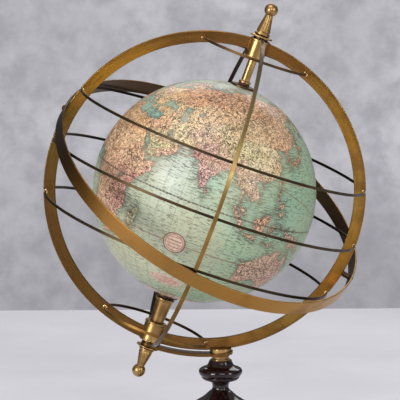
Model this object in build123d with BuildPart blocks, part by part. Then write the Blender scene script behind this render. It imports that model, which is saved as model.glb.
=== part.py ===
from build123d import *
from math import asin, cos, radians, sin, sqrt
import os

# Desktop globe in an armillary cage, on a turned stand. Millimetres, +Z up, the front looks to -Y.
# The origin is the middle of the base's underside.

# globe
globe_radius = 90.0
shell_wall = 2.0
joint_band_width = 16.0
joint_band_wall = 1.8
glue_gap = 0.05                    # between the band and the shells

# cage
cage_offset = -13.0                # middle of the globe beside the stand's axis
axis_tilt = 20.0                   # polar axis from upright, its top leans to +X
ring_outer = 130.0
ring_width = 9.6
ring_thickness = 3.0
ring_edge_bevel = 0.4
strip_width = 2.2                  # rings of latitude
strip_thickness = 1.0
tropic_inset = 1.5                 # from the ring's outer edge to the equator's and tropics' strips
tropic_latitude = 20.0
polar_inset = 5.0                  # and to the polar circles' strips
polar_latitude = 69.5
colure_gap = 1.0                   # from the meridian ring to its inner face
colure_thickness = 1.2
colure_width = 3.2
colure_eye = 12.0
colure_turn = 4.5                  # the colure stands this far off square to the meridian ring
ecliptic_gap = 3.6                 # from the meridian ring to its inner face
ecliptic_thickness = 1.5
ecliptic_width = 12.0
ecliptic_tilt = 23.5
ecliptic_turn = -63.7              # the way its axis leans, round the polar axis
ecliptic_shift = 3.2               # it sits off centre, close to the ring at its upper crossing

# axle and what is threaded on it
axle_diameter = 4.0
axle_overhang = 18.0               # past the meridian ring at each end
running_clearance = 0.05           # radial, bushes on the axle
running_gap = 0.05                 # axial, between turning and fixed faces
bore_clearance = 0.03              # radial, fixed pieces on the axle
slot_clearance = 0.03              # around strips and rings in their slots
stack_gap = 0.05                   # between flat and round faces that are clamped together
bush_diameter = 8.0
bush_length = 9.0
bush_flange_diameter = 16.0
bush_flange_thickness = 1.6
flange_diameter = 20.0
flange_height = 2.0                # from the pole of the globe to the flange's flat
washer_diameter = 9.0
washer_thickness = 0.8
north_spacer_diameter = 6.9
south_spacer_foot = 14.0           # diameter at the globe
south_spacer_neck = 11.0           # diameter at the barrel
north_barrel_diameter = 17.0
south_barrel_diameter = 18.6
barrel_overhang = 6.9              # inside the ring's inner edge
collar_diameter = 18.6
collar_thickness = 1.6
finial_bead = 12.4
finial_base = 11.2
finial_neck = 6.2
finial_ball = 10.8
north_finial_length = 21.6         # from its seat to the ball's middle
south_finial_length = 20.0

# rivets and pins
rivet_diameter = 1.0
rivet_head = 1.9
rivet_head_height = 0.7
rivet_depth = 3.0
pin_diameter = 1.8
pin_depth = 4.5
pin_shoulder = 4.6
pin_tenon = 2.4
pin_head = 5.2
pin_head_height = 1.4
saddle_pin_diameter = 1.5
saddle_pin_reach = 5.8             # from the stand's axis

# arc bracket and stand
bracket_gap = 0.2                  # between the colure and the bracket
bracket_thickness = 2.5
bracket_depth = 12.0
bracket_eye = 20.0                 # round end over the stand
saddle_diameter = 17.6
saddle_grip = 1.0                  # how much of the ring's width stands in the saddle
ferrule_neck = 13.7
ferrule_height = 4.1               # from the column to the bracket
column_top = 151.63
column_foot = 36.0                 # shoulder on the base
column_foot_diameter = 56.0
column_tenon_diameter = 24.0
column_tenon_length = 12.0
knob_diameter = 35.6
knob_drop = 9.6                    # from the column's top to the knob's widest
neck_diameter = 13.2
neck_drop = 21.8
belly_drop = 46.0
ankle_rise = 22.0                  # above the shoulder
belly_diameter = 54.0
ankle_diameter = 24.0
base_diameter = 150.0
base_rim = 9.0
felt_thickness = 2.0
felt_inset = 4.0
felt_recess = 1.0
tie_rod_diameter = 6.0
tie_rod_engagement = 2.0
nut_across_flats = 10.0
nut_thickness = 5.0
nut_washer_diameter = 16.0
nut_washer_thickness = 1.5
counterbore_diameter = 22.0
counterbore_depth = 14.0
seat_clearance = 0.1               # around tenons and rods in wood

# places that follow from the sizes above
ring_inner = ring_outer - ring_width
tropic_reach = ring_outer - tropic_inset
polar_reach = ring_outer - polar_inset
colure_radius = ring_outer + colure_gap
colure_outer = colure_radius + colure_thickness
ecliptic_radius = ring_outer + ecliptic_gap
bracket_inner = colure_outer + bracket_gap
bracket_outer = bracket_inner + bracket_thickness
bracket_bottom = column_top + ferrule_height
cage_height = bracket_bottom + sqrt(bracket_outer**2 - cage_offset**2)
bracket_top = cage_height - sqrt(bracket_inner**2 - cage_offset**2)
cage_centre = Vector(cage_offset, 0, cage_height)
lean = radians(axis_tilt)
polar = Plane(origin=cage_centre, x_dir=(cos(lean), 0, -sin(lean)), z_dir=(sin(lean), 0, cos(lean)))
polar_axis = Axis(cage_centre, polar.z_dir)
meridian = Plane(origin=cage_centre, x_dir=polar.x_dir, z_dir=(0, -1, 0))   # local y is the polar axis
ring_plane = Plane(origin=cage_centre, x_dir=(1, 0, 0), z_dir=(0, -1, 0))   # the same plane, local y up
stand_plane = Plane.XZ                                                      # local x is the radius
axle_reach = ring_outer + axle_overhang
barrel_inner_end = ring_inner - barrel_overhang
widest_barrel = max(north_barrel_diameter, south_barrel_diameter)
barrel_outer_end = sqrt(colure_radius**2 - (widest_barrel / 2) ** 2) - stack_gap
axle_radius = axle_diameter / 2
fixed_bore = axle_radius + bore_clearance
running_bore = axle_radius + running_clearance
flange_face = globe_radius + flange_height
washer_face = flange_face + running_gap + washer_thickness
north_seat = colure_outer + stack_gap
south_seat = bracket_outer + stack_gap

os.makedirs("parts", exist_ok=True)


def save(piece, name):
    piece.part.label = name
    export_step(piece.part, f"parts/{name}.step")


def on_sphere(radius, distance):
    """Height of a sphere's surface at a distance from its axis."""
    return sqrt(radius**2 - distance**2)


def dome_middle(edge, height):
    """Middle of a dome's arc: its distance from the axis, and how far below the top it lies."""
    sphere = (edge**2 + height**2) / (2 * height)
    half_angle = asin(edge / sphere) / 2
    return sphere * sin(half_angle), sphere * (1 - cos(half_angle))


def turned(plane, axis, outline):
    """A piece turned about an axis from a closed outline of (radius, height) points."""
    with BuildPart() as piece:
        with BuildSketch(plane):
            with BuildLine():
                Polyline(*outline, close=True)
            make_face()
        revolve(axis=axis)
    return piece


def polar_turned(outline, side=1):
    """A piece turned about the polar axis, on the north side (1) or the south side (-1)."""
    return turned(meridian, polar_axis, [(radius, side * height) for radius, height in outline])


# ---------------------------------------------------------------- the globe, which turns

def globe_shell(side):
    """Half of the hollow globe, with a hole for its bush at the pole."""
    inner = globe_radius - shell_wall
    hole = bush_diameter / 2 + bore_clearance
    slant = 1 / sqrt(2)
    with BuildPart() as shell:
        with BuildSketch(meridian):
            with BuildLine():
                outside = ThreePointArc(
                    (globe_radius, 0),
                    (globe_radius * slant, side * globe_radius * slant),
                    (hole, side * on_sphere(globe_radius, hole)),
                )
                inside = ThreePointArc(
                    (inner, 0),
                    (inner * slant, side * inner * slant),
                    (hole, side * on_sphere(inner, hole)),
                )
                Line(outside @ 1, inside @ 1)
                Line(outside @ 0, inside @ 0)
            make_face()
        revolve(axis=polar_axis)
    return shell


for name, side in (("globe_north_shell", 1), ("globe_south_shell", -1)):
    save(globe_shell(side), name)

band_radius = globe_radius - shell_wall - glue_gap
half_band = joint_band_width / 2
band_edge = on_sphere(band_radius, half_band)
with BuildPart() as globe_joint_band:
    with BuildSketch(meridian):
        with BuildLine():
            ThreePointArc((band_edge, -half_band), (band_radius, 0), (band_edge, half_band))
            Line((band_edge, half_band), (band_edge - joint_band_wall, half_band))
            ThreePointArc(
                (band_edge - joint_band_wall, half_band),
                (band_radius - joint_band_wall, 0),
                (band_edge - joint_band_wall, -half_band),
            )
            Line((band_edge - joint_band_wall, -half_band), (band_edge, -half_band))
        make_face()
    revolve(axis=polar_axis)
save(globe_joint_band, "globe_joint_band")

flange_radius = flange_diameter / 2
flange_step = flange_radius * 0.55
flange_underside = globe_radius + glue_gap
bush_radius = bush_diameter / 2
bush_top = on_sphere(globe_radius, bush_radius)
bush_shoulder = on_sphere(globe_radius - shell_wall, bush_flange_diameter / 2) - stack_gap
for pole, side in (("north", 1), ("south", -1)):
    with BuildPart() as globe_flange:
        with BuildSketch(meridian):
            with BuildLine():
                ThreePointArc(
                    (running_bore, side * on_sphere(flange_underside, running_bore)),
                    (flange_step, side * on_sphere(flange_underside, flange_step)),
                    (flange_radius, side * on_sphere(flange_underside, flange_radius)),
                )
                Polyline(
                    (flange_radius, side * on_sphere(flange_underside, flange_radius)),
                    (flange_radius, side * (flange_face - 1.2)),
                    (flange_radius - 0.4, side * (flange_face - 0.8)),
                    (flange_step + 0.6, side * (flange_face - 0.5)),
                    (flange_step, side * flange_face),
                    (running_bore, side * flange_face),
                    (running_bore, side * on_sphere(flange_underside, running_bore)),
                )
            make_face()
        revolve(axis=polar_axis)
    save(globe_flange, f"{pole}_globe_flange")

    bushing = polar_turned(
        [
            (running_bore, bush_top - bush_length),
            (bush_radius, bush_top - bush_length),
            (bush_radius, bush_shoulder - bush_flange_thickness),
            (bush_flange_diameter / 2, bush_shoulder - bush_flange_thickness),
            (bush_flange_diameter / 2, bush_shoulder),
            (bush_radius, bush_shoulder),
            (bush_radius, bush_top),
            (running_bore, bush_top),
        ],
        side,
    )
    save(bushing, f"{pole}_bushing")

# ---------------------------------------------------------------- the axle and its stack

with BuildPart() as polar_axle:
    with BuildSketch(polar.offset(-axle_reach)):
        Circle(axle_radius)
    extrude(amount=2 * axle_reach)
    chamfer(polar_axle.edges().filter_by(GeomType.CIRCLE), length=0.4)
save(polar_axle, "polar_axle")

spacer_start = washer_face + running_gap
spacer_end = barrel_inner_end - stack_gap
north_sleeve = north_spacer_diameter / 2
spacer_outlines = {
    "north": [
        (fixed_bore, spacer_start),
        (north_sleeve + 1.0, spacer_start),
        (north_sleeve + 1.6, spacer_start + 0.6),
        (north_sleeve + 1.6, spacer_start + 1.6),
        (north_sleeve + 0.8, spacer_start + 2.4),
        (north_sleeve, spacer_start + 2.8),
        (north_sleeve, spacer_end),
        (fixed_bore, spacer_end),
    ],
    "south": [
        (fixed_bore, spacer_start),
        (south_spacer_foot / 2 + 0.6, spacer_start),
        (south_spacer_foot / 2 + 1.0, spacer_start + 0.5),
        (south_spacer_foot / 2 + 1.0, spacer_start + 1.5),
        (south_spacer_foot / 2, spacer_start + 2.2),
        (south_spacer_neck / 2, spacer_end),
        (fixed_bore, spacer_end),
    ],
}
barrel_diameters = {"north": north_barrel_diameter, "south": south_barrel_diameter}
seats = {"north": north_seat, "south": south_seat}
finial_lengths = {"north": north_finial_length, "south": south_finial_length}

for pole, side in (("north", 1), ("south", -1)):
    thrust_washer = polar_turned(
        [
            (running_bore, flange_face + running_gap),
            (washer_diameter / 2, flange_face + running_gap),
            (washer_diameter / 2, washer_face),
            (running_bore, washer_face),
        ],
        side,
    )
    save(thrust_washer, f"{pole}_thrust_washer")
    save(polar_turned(spacer_outlines[pole], side), f"{pole}_spacer")

    barrel_radius = barrel_diameters[pole] / 2
    with BuildPart() as barrel:
        with BuildSketch(meridian):
            with BuildLine():
                Polyline(
                    (fixed_bore, side * barrel_inner_end),
                    (barrel_radius - 1.0, side * barrel_inner_end),
                    (barrel_radius, side * (barrel_inner_end + 0.8)),
                    (barrel_radius, side * (barrel_inner_end + 1.8)),
                    (barrel_radius - 0.5, side * (barrel_inner_end + 2.2)),
                    (barrel_radius - 0.5, side * (barrel_outer_end - 1.8)),
                    (barrel_radius, side * (barrel_outer_end - 1.4)),
                    (barrel_radius, side * (barrel_outer_end - 0.6)),
                    (barrel_radius - 0.6, side * barrel_outer_end),
                    (fixed_bore, side * barrel_outer_end),
                    close=True,
                )
            make_face()
        revolve(axis=polar_axis)
        with BuildSketch(meridian):
            Circle(ring_outer * 1.2)
            Circle(ring_inner - slot_clearance, mode=Mode.SUBTRACT)
        extrude(amount=ring_thickness / 2 + slot_clearance, both=True, mode=Mode.SUBTRACT)
    save(barrel, f"{pole}_barrel")

    seat = seats[pole]
    collar = polar_turned(
        [
            (fixed_bore, seat),
            (collar_diameter / 2 - 0.4, seat),
            (collar_diameter / 2, seat + collar_thickness / 3),
            (collar_diameter / 2 - 0.3, seat + collar_thickness * 2 / 3),
            (finial_bead / 2 + 0.8, seat + collar_thickness),
            (fixed_bore, seat + collar_thickness),
        ],
        side,
    )
    save(collar, f"{pole}_collar")

    finial_seat = seat + collar_thickness + stack_gap
    ball_middle = finial_seat + finial_lengths[pole]
    ball_radius = finial_ball / 2
    neck_radius = finial_neck / 2
    neck_height = ball_middle - on_sphere(ball_radius, neck_radius)
    bead_radius = finial_bead / 2
    with BuildPart() as finial:
        with BuildSketch(meridian):
            with BuildLine():
                Line((0, side * finial_seat), (bead_radius - 0.8, side * finial_seat))
                ThreePointArc(
                    (bead_radius - 0.8, side * finial_seat),
                    (bead_radius, side * (finial_seat + 1.2)),
                    (bead_radius - 0.9, side * (finial_seat + 2.4)),
                )
                Polyline(
                    (bead_radius - 0.9, side * (finial_seat + 2.4)),
                    (finial_base / 2 - 0.3, side * (finial_seat + 2.8)),
                    (finial_base / 2, side * (finial_seat + 3.6)),
                    (neck_radius, side * neck_height),
                )
                ThreePointArc(
                    (neck_radius, side * neck_height),
                    (ball_radius, side * ball_middle),
                    (0, side * (ball_middle + ball_radius)),
                )
                Line((0, side * (ball_middle + ball_radius)), (0, side * finial_seat))
            make_face()
        revolve(axis=polar_axis)
        with BuildSketch(polar.offset(side * axle_reach * 0.5)):
            Circle(fixed_bore)
        extrude(amount=side * (axle_reach * 0.5 + 0.5), mode=Mode.SUBTRACT)
    save(finial, f"{pole}_finial")

# ---------------------------------------------------------------- rings of latitude

strip_places = {                   # latitude and distance from the middle of the globe
    "arctic_ring": (polar_latitude, polar_reach),
    "cancer_ring": (tropic_latitude, tropic_reach),
    "equator_ring": (0.0, tropic_reach),
    "capricorn_ring": (-tropic_latitude, tropic_reach),
    "antarctic_ring": (-polar_latitude, polar_reach),
}
riveted = ("cancer_ring", "equator_ring", "capricorn_ring")   # the polar circles are soldered in slots


def strip_place(name):
    """Radius and height, about the polar axis, of the middle of a ring of latitude."""
    latitude, reach = strip_places[name]
    return reach * cos(radians(latitude)), reach * sin(radians(latitude))


# holes for the rivets, in the strips and in the meridian ring
rivet_start = strip_thickness / 2 + rivet_depth + slot_clearance
with BuildPart() as rivet_holes:
    for name in riveted:
        radius, height = strip_place(name)
        for way in (1, -1):
            hole_start = cage_centre + polar.z_dir * height + polar.x_dir * (way * (radius - rivet_start))
            with BuildSketch(Plane(origin=hole_start, z_dir=polar.x_dir * way)):
                Circle(rivet_diameter / 2 + bore_clearance)
            extrude(amount=rivet_start + ring_width)

# notches open to the ring's edge for the riveted strips, closed slots for the polar circles
with BuildPart() as notches:
    for name in strip_places:
        radius, height = strip_place(name)
        notch_bottom = radius - strip_thickness / 2 - slot_clearance
        notch_depth = ring_width if name in riveted else strip_thickness + 2 * slot_clearance
        with BuildSketch(meridian):
            with Locations((notch_bottom + notch_depth / 2, height)):
                Rectangle(notch_depth, strip_width + 2 * slot_clearance)
        revolve(axis=polar_axis)

for name in strip_places:
    radius, height = strip_place(name)
    with BuildPart() as parallel:
        with BuildSketch(polar.offset(height - strip_width / 2)):
            Circle(radius + strip_thickness / 2)
            Circle(radius - strip_thickness / 2, mode=Mode.SUBTRACT)
        extrude(amount=strip_width)
        add(rivet_holes.part, mode=Mode.SUBTRACT)
    save(parallel, name)


def strip_rivet(name, way):
    """A round-headed rivet, pushed in along the strip's radius on the east (1) or the west (-1)."""
    radius, height = strip_place(name)
    under_head = radius + strip_thickness / 2 + slot_clearance
    tip = under_head - strip_thickness - rivet_depth
    top = under_head + rivet_head_height
    head = rivet_head / 2
    shank = rivet_diameter / 2
    middle_out, middle_down = dome_middle(head, rivet_head_height)
    with BuildPart() as rivet:
        with BuildSketch(meridian):
            with BuildLine():
                Polyline(
                    (way * top, height),
                    (way * tip, height),
                    (way * tip, height + shank),
                    (way * under_head, height + shank),
                    (way * under_head, height + head),
                )
                ThreePointArc(
                    (way * under_head, height + head),
                    (way * (top - middle_down), height + middle_out),
                    (way * top, height),
                )
            make_face()
        revolve(axis=Axis(cage_centre + polar.z_dir * height, polar.x_dir))
    return rivet


with BuildPart() as parallel_rivets:
    for name in riveted:
        for way in (1, -1):
            add(strip_rivet(name, way).part)
save(parallel_rivets, "parallel_rivets")

# ---------------------------------------------------------------- the ecliptic band's place

polar_tip = radians(ecliptic_tilt)
turn = radians(ecliptic_turn)
ecliptic_pole = (
    polar.x_dir * (sin(polar_tip) * cos(turn))
    + polar.y_dir * (sin(polar_tip) * sin(turn))
    + polar.z_dir * cos(polar_tip)
)
crossing = Vector(0, 1, 0).cross(ecliptic_pole).normalized()   # to its lower crossing of the ring
ecliptic = Plane(
    origin=cage_centre + crossing * ecliptic_shift, x_dir=crossing, z_dir=ecliptic_pole
)
crossing_axis = Axis(cage_centre, crossing)
pin_plane = Plane(origin=cage_centre, x_dir=crossing, z_dir=(0, -1, 0))

# ---------------------------------------------------------------- the meridian ring, in two halves


ring_bottom = cage_height - sqrt(ring_outer**2 - cage_offset**2)       # over the stand's axis
saddle_pin_top = ring_bottom + pin_depth
for name, side in (("meridian_ring_east", 1), ("meridian_ring_west", -1)):
    with BuildPart() as half_ring:
        with BuildSketch(meridian):
            Circle(ring_outer)
            Circle(ring_inner, mode=Mode.SUBTRACT)
            with Locations((side * (axle_radius + 0.2 - ring_outer), 0)):
                Rectangle(2 * ring_outer, 2 * ring_outer + 1, mode=Mode.SUBTRACT)
        extrude(amount=ring_thickness / 2, both=True)
        rims = half_ring.edges().filter_by(GeomType.CIRCLE)
        chamfer(rims, length=ring_edge_bevel)
        add(notches.part, mode=Mode.SUBTRACT)
        add(rivet_holes.part, mode=Mode.SUBTRACT)
        with BuildSketch(Plane(origin=cage_centre, z_dir=crossing)):
            Circle(pin_diameter / 2 + bore_clearance)
        extrude(amount=ring_outer * 1.1, both=True, mode=Mode.SUBTRACT)
        with BuildSketch(Plane.XY.offset(saddle_pin_top + stack_gap)):
            with Locations((saddle_pin_reach, 0), (-saddle_pin_reach, 0)):
                Circle(saddle_pin_diameter / 2 + bore_clearance)
        extrude(amount=-2 * pin_depth, mode=Mode.SUBTRACT)
    save(half_ring, name)

# ---------------------------------------------------------------- the colure

colure_normal = polar.x_dir.rotate(Axis((0, 0, 0), polar.z_dir), colure_turn)
colure_plane = Plane(origin=cage_centre, x_dir=polar.z_dir, z_dir=colure_normal)
with BuildPart() as colure_outline:
    with BuildSketch(colure_plane):
        Circle(colure_outer * 1.1)
    extrude(amount=colure_width / 2, both=True)
    with BuildSketch(polar):
        Circle(colure_eye / 2)
    extrude(amount=colure_outer * 1.1, both=True)

with BuildPart() as colure_ring:
    with BuildSketch(colure_plane):
        Circle(colure_outer)
        Circle(colure_radius, mode=Mode.SUBTRACT)
    extrude(amount=colure_eye / 2, both=True)
    add(colure_outline.part, mode=Mode.INTERSECT)
    with BuildSketch(polar):
        Circle(fixed_bore)
    extrude(amount=colure_outer * 1.1, both=True, mode=Mode.SUBTRACT)
save(colure_ring, "colure_ring")

# ---------------------------------------------------------------- the ecliptic band and its pins

band_inner = ecliptic_radius
band_outer = ecliptic_radius + ecliptic_thickness
with BuildPart() as ecliptic_band:
    with BuildSketch(ecliptic):
        Circle(band_outer)
        Circle(band_inner, mode=Mode.SUBTRACT)
    extrude(amount=ecliptic_width / 2, both=True)
    fillet(ecliptic_band.edges(), radius=ecliptic_thickness / 4)
    with BuildSketch(Plane(origin=cage_centre, z_dir=crossing)):
        Circle(pin_tenon / 2 + bore_clearance)
    extrude(amount=band_outer * 1.1, both=True, mode=Mode.SUBTRACT)
save(ecliptic_band, "ecliptic_band")


def ecliptic_pin(way):
    """A shouldered pin from the ring's edge through the band, at its lower (1) or upper (-1) crossing."""
    shank_end = ring_outer - pin_depth
    shoulder_start = ring_outer + slot_clearance
    shoulder_end = band_inner + way * ecliptic_shift - slot_clearance
    head_start = band_outer + way * ecliptic_shift + slot_clearance
    head_top = head_start + pin_head_height
    middle_out, middle_down = dome_middle(pin_head / 2, pin_head_height)
    with BuildPart() as pin:
        with BuildSketch(pin_plane):
            with BuildLine():
                Polyline(
                    (way * head_top, 0),
                    (way * shank_end, 0),
                    (way * shank_end, pin_diameter / 2),
                    (way * shoulder_start, pin_diameter / 2),
                    (way * shoulder_start, pin_shoulder / 2),
                    (way * shoulder_end, pin_shoulder / 2),
                    (way * shoulder_end, pin_tenon / 2),
                    (way * head_start, pin_tenon / 2),
                    (way * head_start, pin_head / 2),
                )
                ThreePointArc(
                    (way * head_start, pin_head / 2),
                    (way * (head_top - middle_down), middle_out),
                    (way * head_top, 0),
                )
            make_face()
        revolve(axis=crossing_axis)
    return pin


with BuildPart() as ecliptic_pins:
    for way in (1, -1):
        add(ecliptic_pin(way).part)
save(ecliptic_pins, "ecliptic_pins")

# ---------------------------------------------------------------- the arc bracket and the ring's saddle

pole_way = polar.z_dir * -1
stand_way = (Vector(0, 0, ring_bottom) - cage_centre).normalized()
bracket_end = bracket_outer * 1.1
with BuildPart() as bracket_outline:
    with BuildSketch(ring_plane):
        with BuildLine():
            Polyline(
                (0, 0),
                (pole_way.X * 2 * bracket_end, pole_way.Z * 2 * bracket_end),
                (stand_way.X * 2 * bracket_end, stand_way.Z * 2 * bracket_end),
                close=True,
            )
        make_face()
    extrude(amount=bracket_depth / 2, both=True)
    with BuildSketch(Plane(origin=cage_centre, z_dir=pole_way)):
        Circle(bracket_depth / 2)
    extrude(amount=bracket_end)
    with BuildSketch(Plane.XY):
        Circle(bracket_eye / 2)
    extrude(amount=cage_height)

with BuildPart() as arc_bracket:
    with BuildSketch(ring_plane):
        Circle(bracket_outer)
        Circle(bracket_inner, mode=Mode.SUBTRACT)
        with Locations((0, ring_outer)):
            Rectangle(4 * ring_outer, 2 * ring_outer, mode=Mode.SUBTRACT)
    extrude(amount=bracket_eye / 2, both=True)
    add(bracket_outline.part, mode=Mode.INTERSECT)
    with BuildSketch(Plane(origin=cage_centre, z_dir=pole_way)):
        Circle(fixed_bore)
    extrude(amount=bracket_end, mode=Mode.SUBTRACT)
    with BuildSketch(Plane.XY):
        Circle(tie_rod_diameter / 2 + bore_clearance)
    extrude(amount=cage_height, mode=Mode.SUBTRACT)
save(arc_bracket, "arc_bracket")

rod_bore = tie_rod_diameter / 2 + bore_clearance
saddle_top = cage_height - sqrt((ring_outer - saddle_grip) ** 2 - cage_offset**2)
rod_end = bracket_top + tie_rod_engagement
with BuildPart() as ring_saddle:
    with BuildSketch(Plane.XY.offset(bracket_bottom)):
        Circle(saddle_diameter / 2)
    extrude(amount=saddle_top - bracket_bottom)
    chamfer(ring_saddle.edges().group_by(Axis.Z)[-1], length=0.4)
    with BuildSketch(ring_plane):
        Circle(cage_height)
        Circle(bracket_inner - stack_gap, mode=Mode.SUBTRACT)
    extrude(amount=saddle_diameter, both=True, mode=Mode.SUBTRACT)
    with BuildSketch(ring_plane):
        Circle(ring_outer + slot_clearance)
    extrude(amount=ring_thickness / 2 + slot_clearance, both=True, mode=Mode.SUBTRACT)
    with BuildSketch(Plane.XY.offset(bracket_bottom)):
        Circle(rod_bore)
    extrude(amount=rod_end + stack_gap - bracket_bottom, mode=Mode.SUBTRACT)
    with BuildSketch(Plane.XY.offset(bracket_bottom)):
        with Locations((saddle_pin_reach, 0), (-saddle_pin_reach, 0)):
            Circle(saddle_pin_diameter / 2 + bore_clearance)
    extrude(amount=saddle_diameter, mode=Mode.SUBTRACT)
save(ring_saddle, "ring_saddle")

saddle_pin_start = bracket_top + 1.0
with BuildPart() as saddle_pins:
    with BuildSketch(Plane.XY.offset(saddle_pin_start)):
        with Locations((saddle_pin_reach, 0), (-saddle_pin_reach, 0)):
            Circle(saddle_pin_diameter / 2)
    extrude(amount=saddle_pin_top - saddle_pin_start)
save(saddle_pins, "saddle_pins")

# ---------------------------------------------------------------- the stand

ferrule_seat = column_top + stack_gap
with BuildPart() as stand_ferrule:
    with BuildSketch(stand_plane):
        with BuildLine():
            Polyline(
                (rod_bore, ferrule_seat),
                (ferrule_neck / 2 + 1.0, ferrule_seat),
                (ferrule_neck / 2 + 1.0, ferrule_seat + 0.8),
                (ferrule_neck / 2, ferrule_seat + 1.6),
                (ferrule_neck / 2, bracket_top),
                (rod_bore, bracket_top),
                close=True,
            )
        make_face()
    revolve(axis=Axis.Z)
    with BuildSketch(ring_plane):
        Circle(bracket_outer + stack_gap)
    extrude(amount=ferrule_neck, both=True, mode=Mode.SUBTRACT)
save(stand_ferrule, "stand_ferrule")

knob_radius = knob_diameter / 2
neck = neck_diameter / 2
belly = belly_diameter / 2
ankle = ankle_diameter / 2
foot_radius = column_foot_diameter / 2
wood_bore = tie_rod_diameter / 2 + seat_clearance
knob_middle = column_top - knob_drop
neck_middle = column_top - neck_drop
belly_middle = column_top - belly_drop
ankle_middle = column_foot + ankle_rise
with BuildPart() as stand_column:
    with BuildSketch(stand_plane):
        with BuildLine():
            Line((wood_bore, column_top), (knob_radius * 0.5, column_top))
            Spline(
                (knob_radius * 0.5, column_top),
                (knob_radius * 0.64, knob_middle + knob_drop * 0.52),
                (knob_radius, knob_middle),
                tangents=((0.5, -1), (0, -1)),
            )
            Spline(
                (knob_radius, knob_middle),
                (knob_radius * 0.96, knob_middle - 2.0),
                (knob_radius * 0.89, knob_middle - 3.6),
                tangents=((0, -1), (-0.8, -1)),
            )
            Polyline(
                (knob_radius * 0.89, knob_middle - 3.6),
                (knob_radius * 0.84, knob_middle - 3.6),
                (knob_radius * 0.84, knob_middle - 4.3),
                (knob_radius * 0.87, knob_middle - 4.3),
            )
            ThreePointArc(
                (knob_radius * 0.87, knob_middle - 4.3),
                (knob_radius * 0.83, knob_middle - 5.6),
                (knob_radius * 0.72, knob_middle - 6.6),
            )
            Line((knob_radius * 0.72, knob_middle - 6.6), (knob_radius * 0.66, knob_middle - 6.6))
            ThreePointArc(
                (knob_radius * 0.66, knob_middle - 6.6),
                (neck * 1.25, neck_middle + 4.0),
                (neck, neck_middle),
            )
            ThreePointArc(
                (neck, neck_middle),
                (neck * 1.08, neck_middle - 2.2),
                (neck * 1.35, neck_middle - 3.8),
            )
            Spline(
                (neck * 1.35, neck_middle - 3.8),
                (belly * 0.5, neck_middle - 8.0),
                (belly, belly_middle),
                tangents=((1, -0.9), (0, -1)),
            )
            Spline(
                (belly, belly_middle),
                (belly * 0.8, belly_middle - 22.0),
                (ankle, ankle_middle),
                tangents=((0, -1), (0, -1)),
            )
            ThreePointArc(
                (ankle, ankle_middle),
                (ankle * 1.1, ankle_middle - 3.0),
                (ankle * 1.35, ankle_middle - 4.5),
            )
            ThreePointArc(
                (ankle * 1.35, ankle_middle - 4.5),
                (ankle * 1.52, ankle_middle - 7.0),
                (ankle * 1.35, ankle_middle - 9.5),
            )
            Line((ankle * 1.35, ankle_middle - 9.5), (ankle * 1.2, ankle_middle - 9.5))
            Spline(
                (ankle * 1.2, ankle_middle - 9.5),
                (ankle * 1.4, column_foot + 5.0),
                (foot_radius, column_foot + 1.5),
                tangents=((0, -1), (1, -0.3)),
            )
            Polyline(
                (foot_radius, column_foot + 1.5),
                (foot_radius, column_foot),
                (column_tenon_diameter / 2, column_foot),
                (column_tenon_diameter / 2, column_foot - column_tenon_length),
                (wood_bore, column_foot - column_tenon_length),
                (wood_bore, column_top),
            )
        make_face()
    revolve(axis=Axis.Z)
save(stand_column, "stand_column")

base_radius = base_diameter / 2
base_bottom = felt_thickness - felt_recess
base_top = column_foot - stack_gap
mortise_bottom = column_foot - column_tenon_length - seat_clearance
mortise = column_tenon_diameter / 2 + seat_clearance
felt_radius = base_radius - felt_inset
counterbore = counterbore_diameter / 2
with BuildPart() as stand_base:
    with BuildSketch(stand_plane):
        with BuildLine():
            Line((mortise, base_top), (foot_radius + 1.5, base_top))
            ThreePointArc(
                (foot_radius + 1.5, base_top),
                (foot_radius + 4.0, base_top - 2.2),
                (foot_radius + 2.5, base_top - 5.0),
            )
            Spline(
                (foot_radius + 2.5, base_top - 5.0),
                (base_radius * 0.6, base_rim + (base_top - base_rim) * 0.36),
                (base_radius * 0.84, base_bottom + base_rim + 5.0),
                tangents=((0.3, -1), (1, -0.15)),
            )
            Line(
                (base_radius * 0.84, base_bottom + base_rim + 5.0),
                (base_radius * 0.84, base_bottom + base_rim + 3.0),
            )
            ThreePointArc(
                (base_radius * 0.84, base_bottom + base_rim + 3.0),
                (base_radius * 0.93, base_bottom + base_rim + 2.0),
                (base_radius * 0.96, base_bottom + base_rim),
            )
            Line(
                (base_radius * 0.96, base_bottom + base_rim),
                (base_radius - base_rim * 0.2, base_bottom + base_rim),
            )
            ThreePointArc(
                (base_radius - base_rim * 0.2, base_bottom + base_rim),
                (base_radius, base_bottom + base_rim * 0.5),
                (base_radius - base_rim * 0.2, base_bottom),
            )
            Polyline(
                (base_radius - base_rim * 0.2, base_bottom),
                (felt_radius + 0.5, base_bottom),
                (felt_radius + 0.5, felt_thickness),
                (counterbore, felt_thickness),
                (counterbore, felt_thickness + counterbore_depth),
                (wood_bore, felt_thickness + counterbore_depth),
                (wood_bore, mortise_bottom),
                (mortise, mortise_bottom),
                (mortise, base_top),
            )
        make_face()
    revolve(axis=Axis.Z)
save(stand_base, "stand_base")

counterbore_roof = felt_thickness + counterbore_depth
washer_bottom = counterbore_roof - stack_gap - nut_washer_thickness
nut_bottom = washer_bottom - stack_gap - nut_thickness
rod_start = nut_bottom - 1.5
with BuildPart() as tie_rod:
    with BuildSketch(Plane.XY.offset(rod_start)):
        Circle(tie_rod_diameter / 2)
    extrude(amount=rod_end - rod_start)
    chamfer(tie_rod.edges().filter_by(GeomType.CIRCLE), length=0.5)
save(tie_rod, "tie_rod")

with BuildPart() as tie_rod_washer:
    with BuildSketch(Plane.XY.offset(washer_bottom)):
        Circle(nut_washer_diameter / 2)
        Circle(wood_bore, mode=Mode.SUBTRACT)
    extrude(amount=nut_washer_thickness)
save(tie_rod_washer, "tie_rod_washer")

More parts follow.
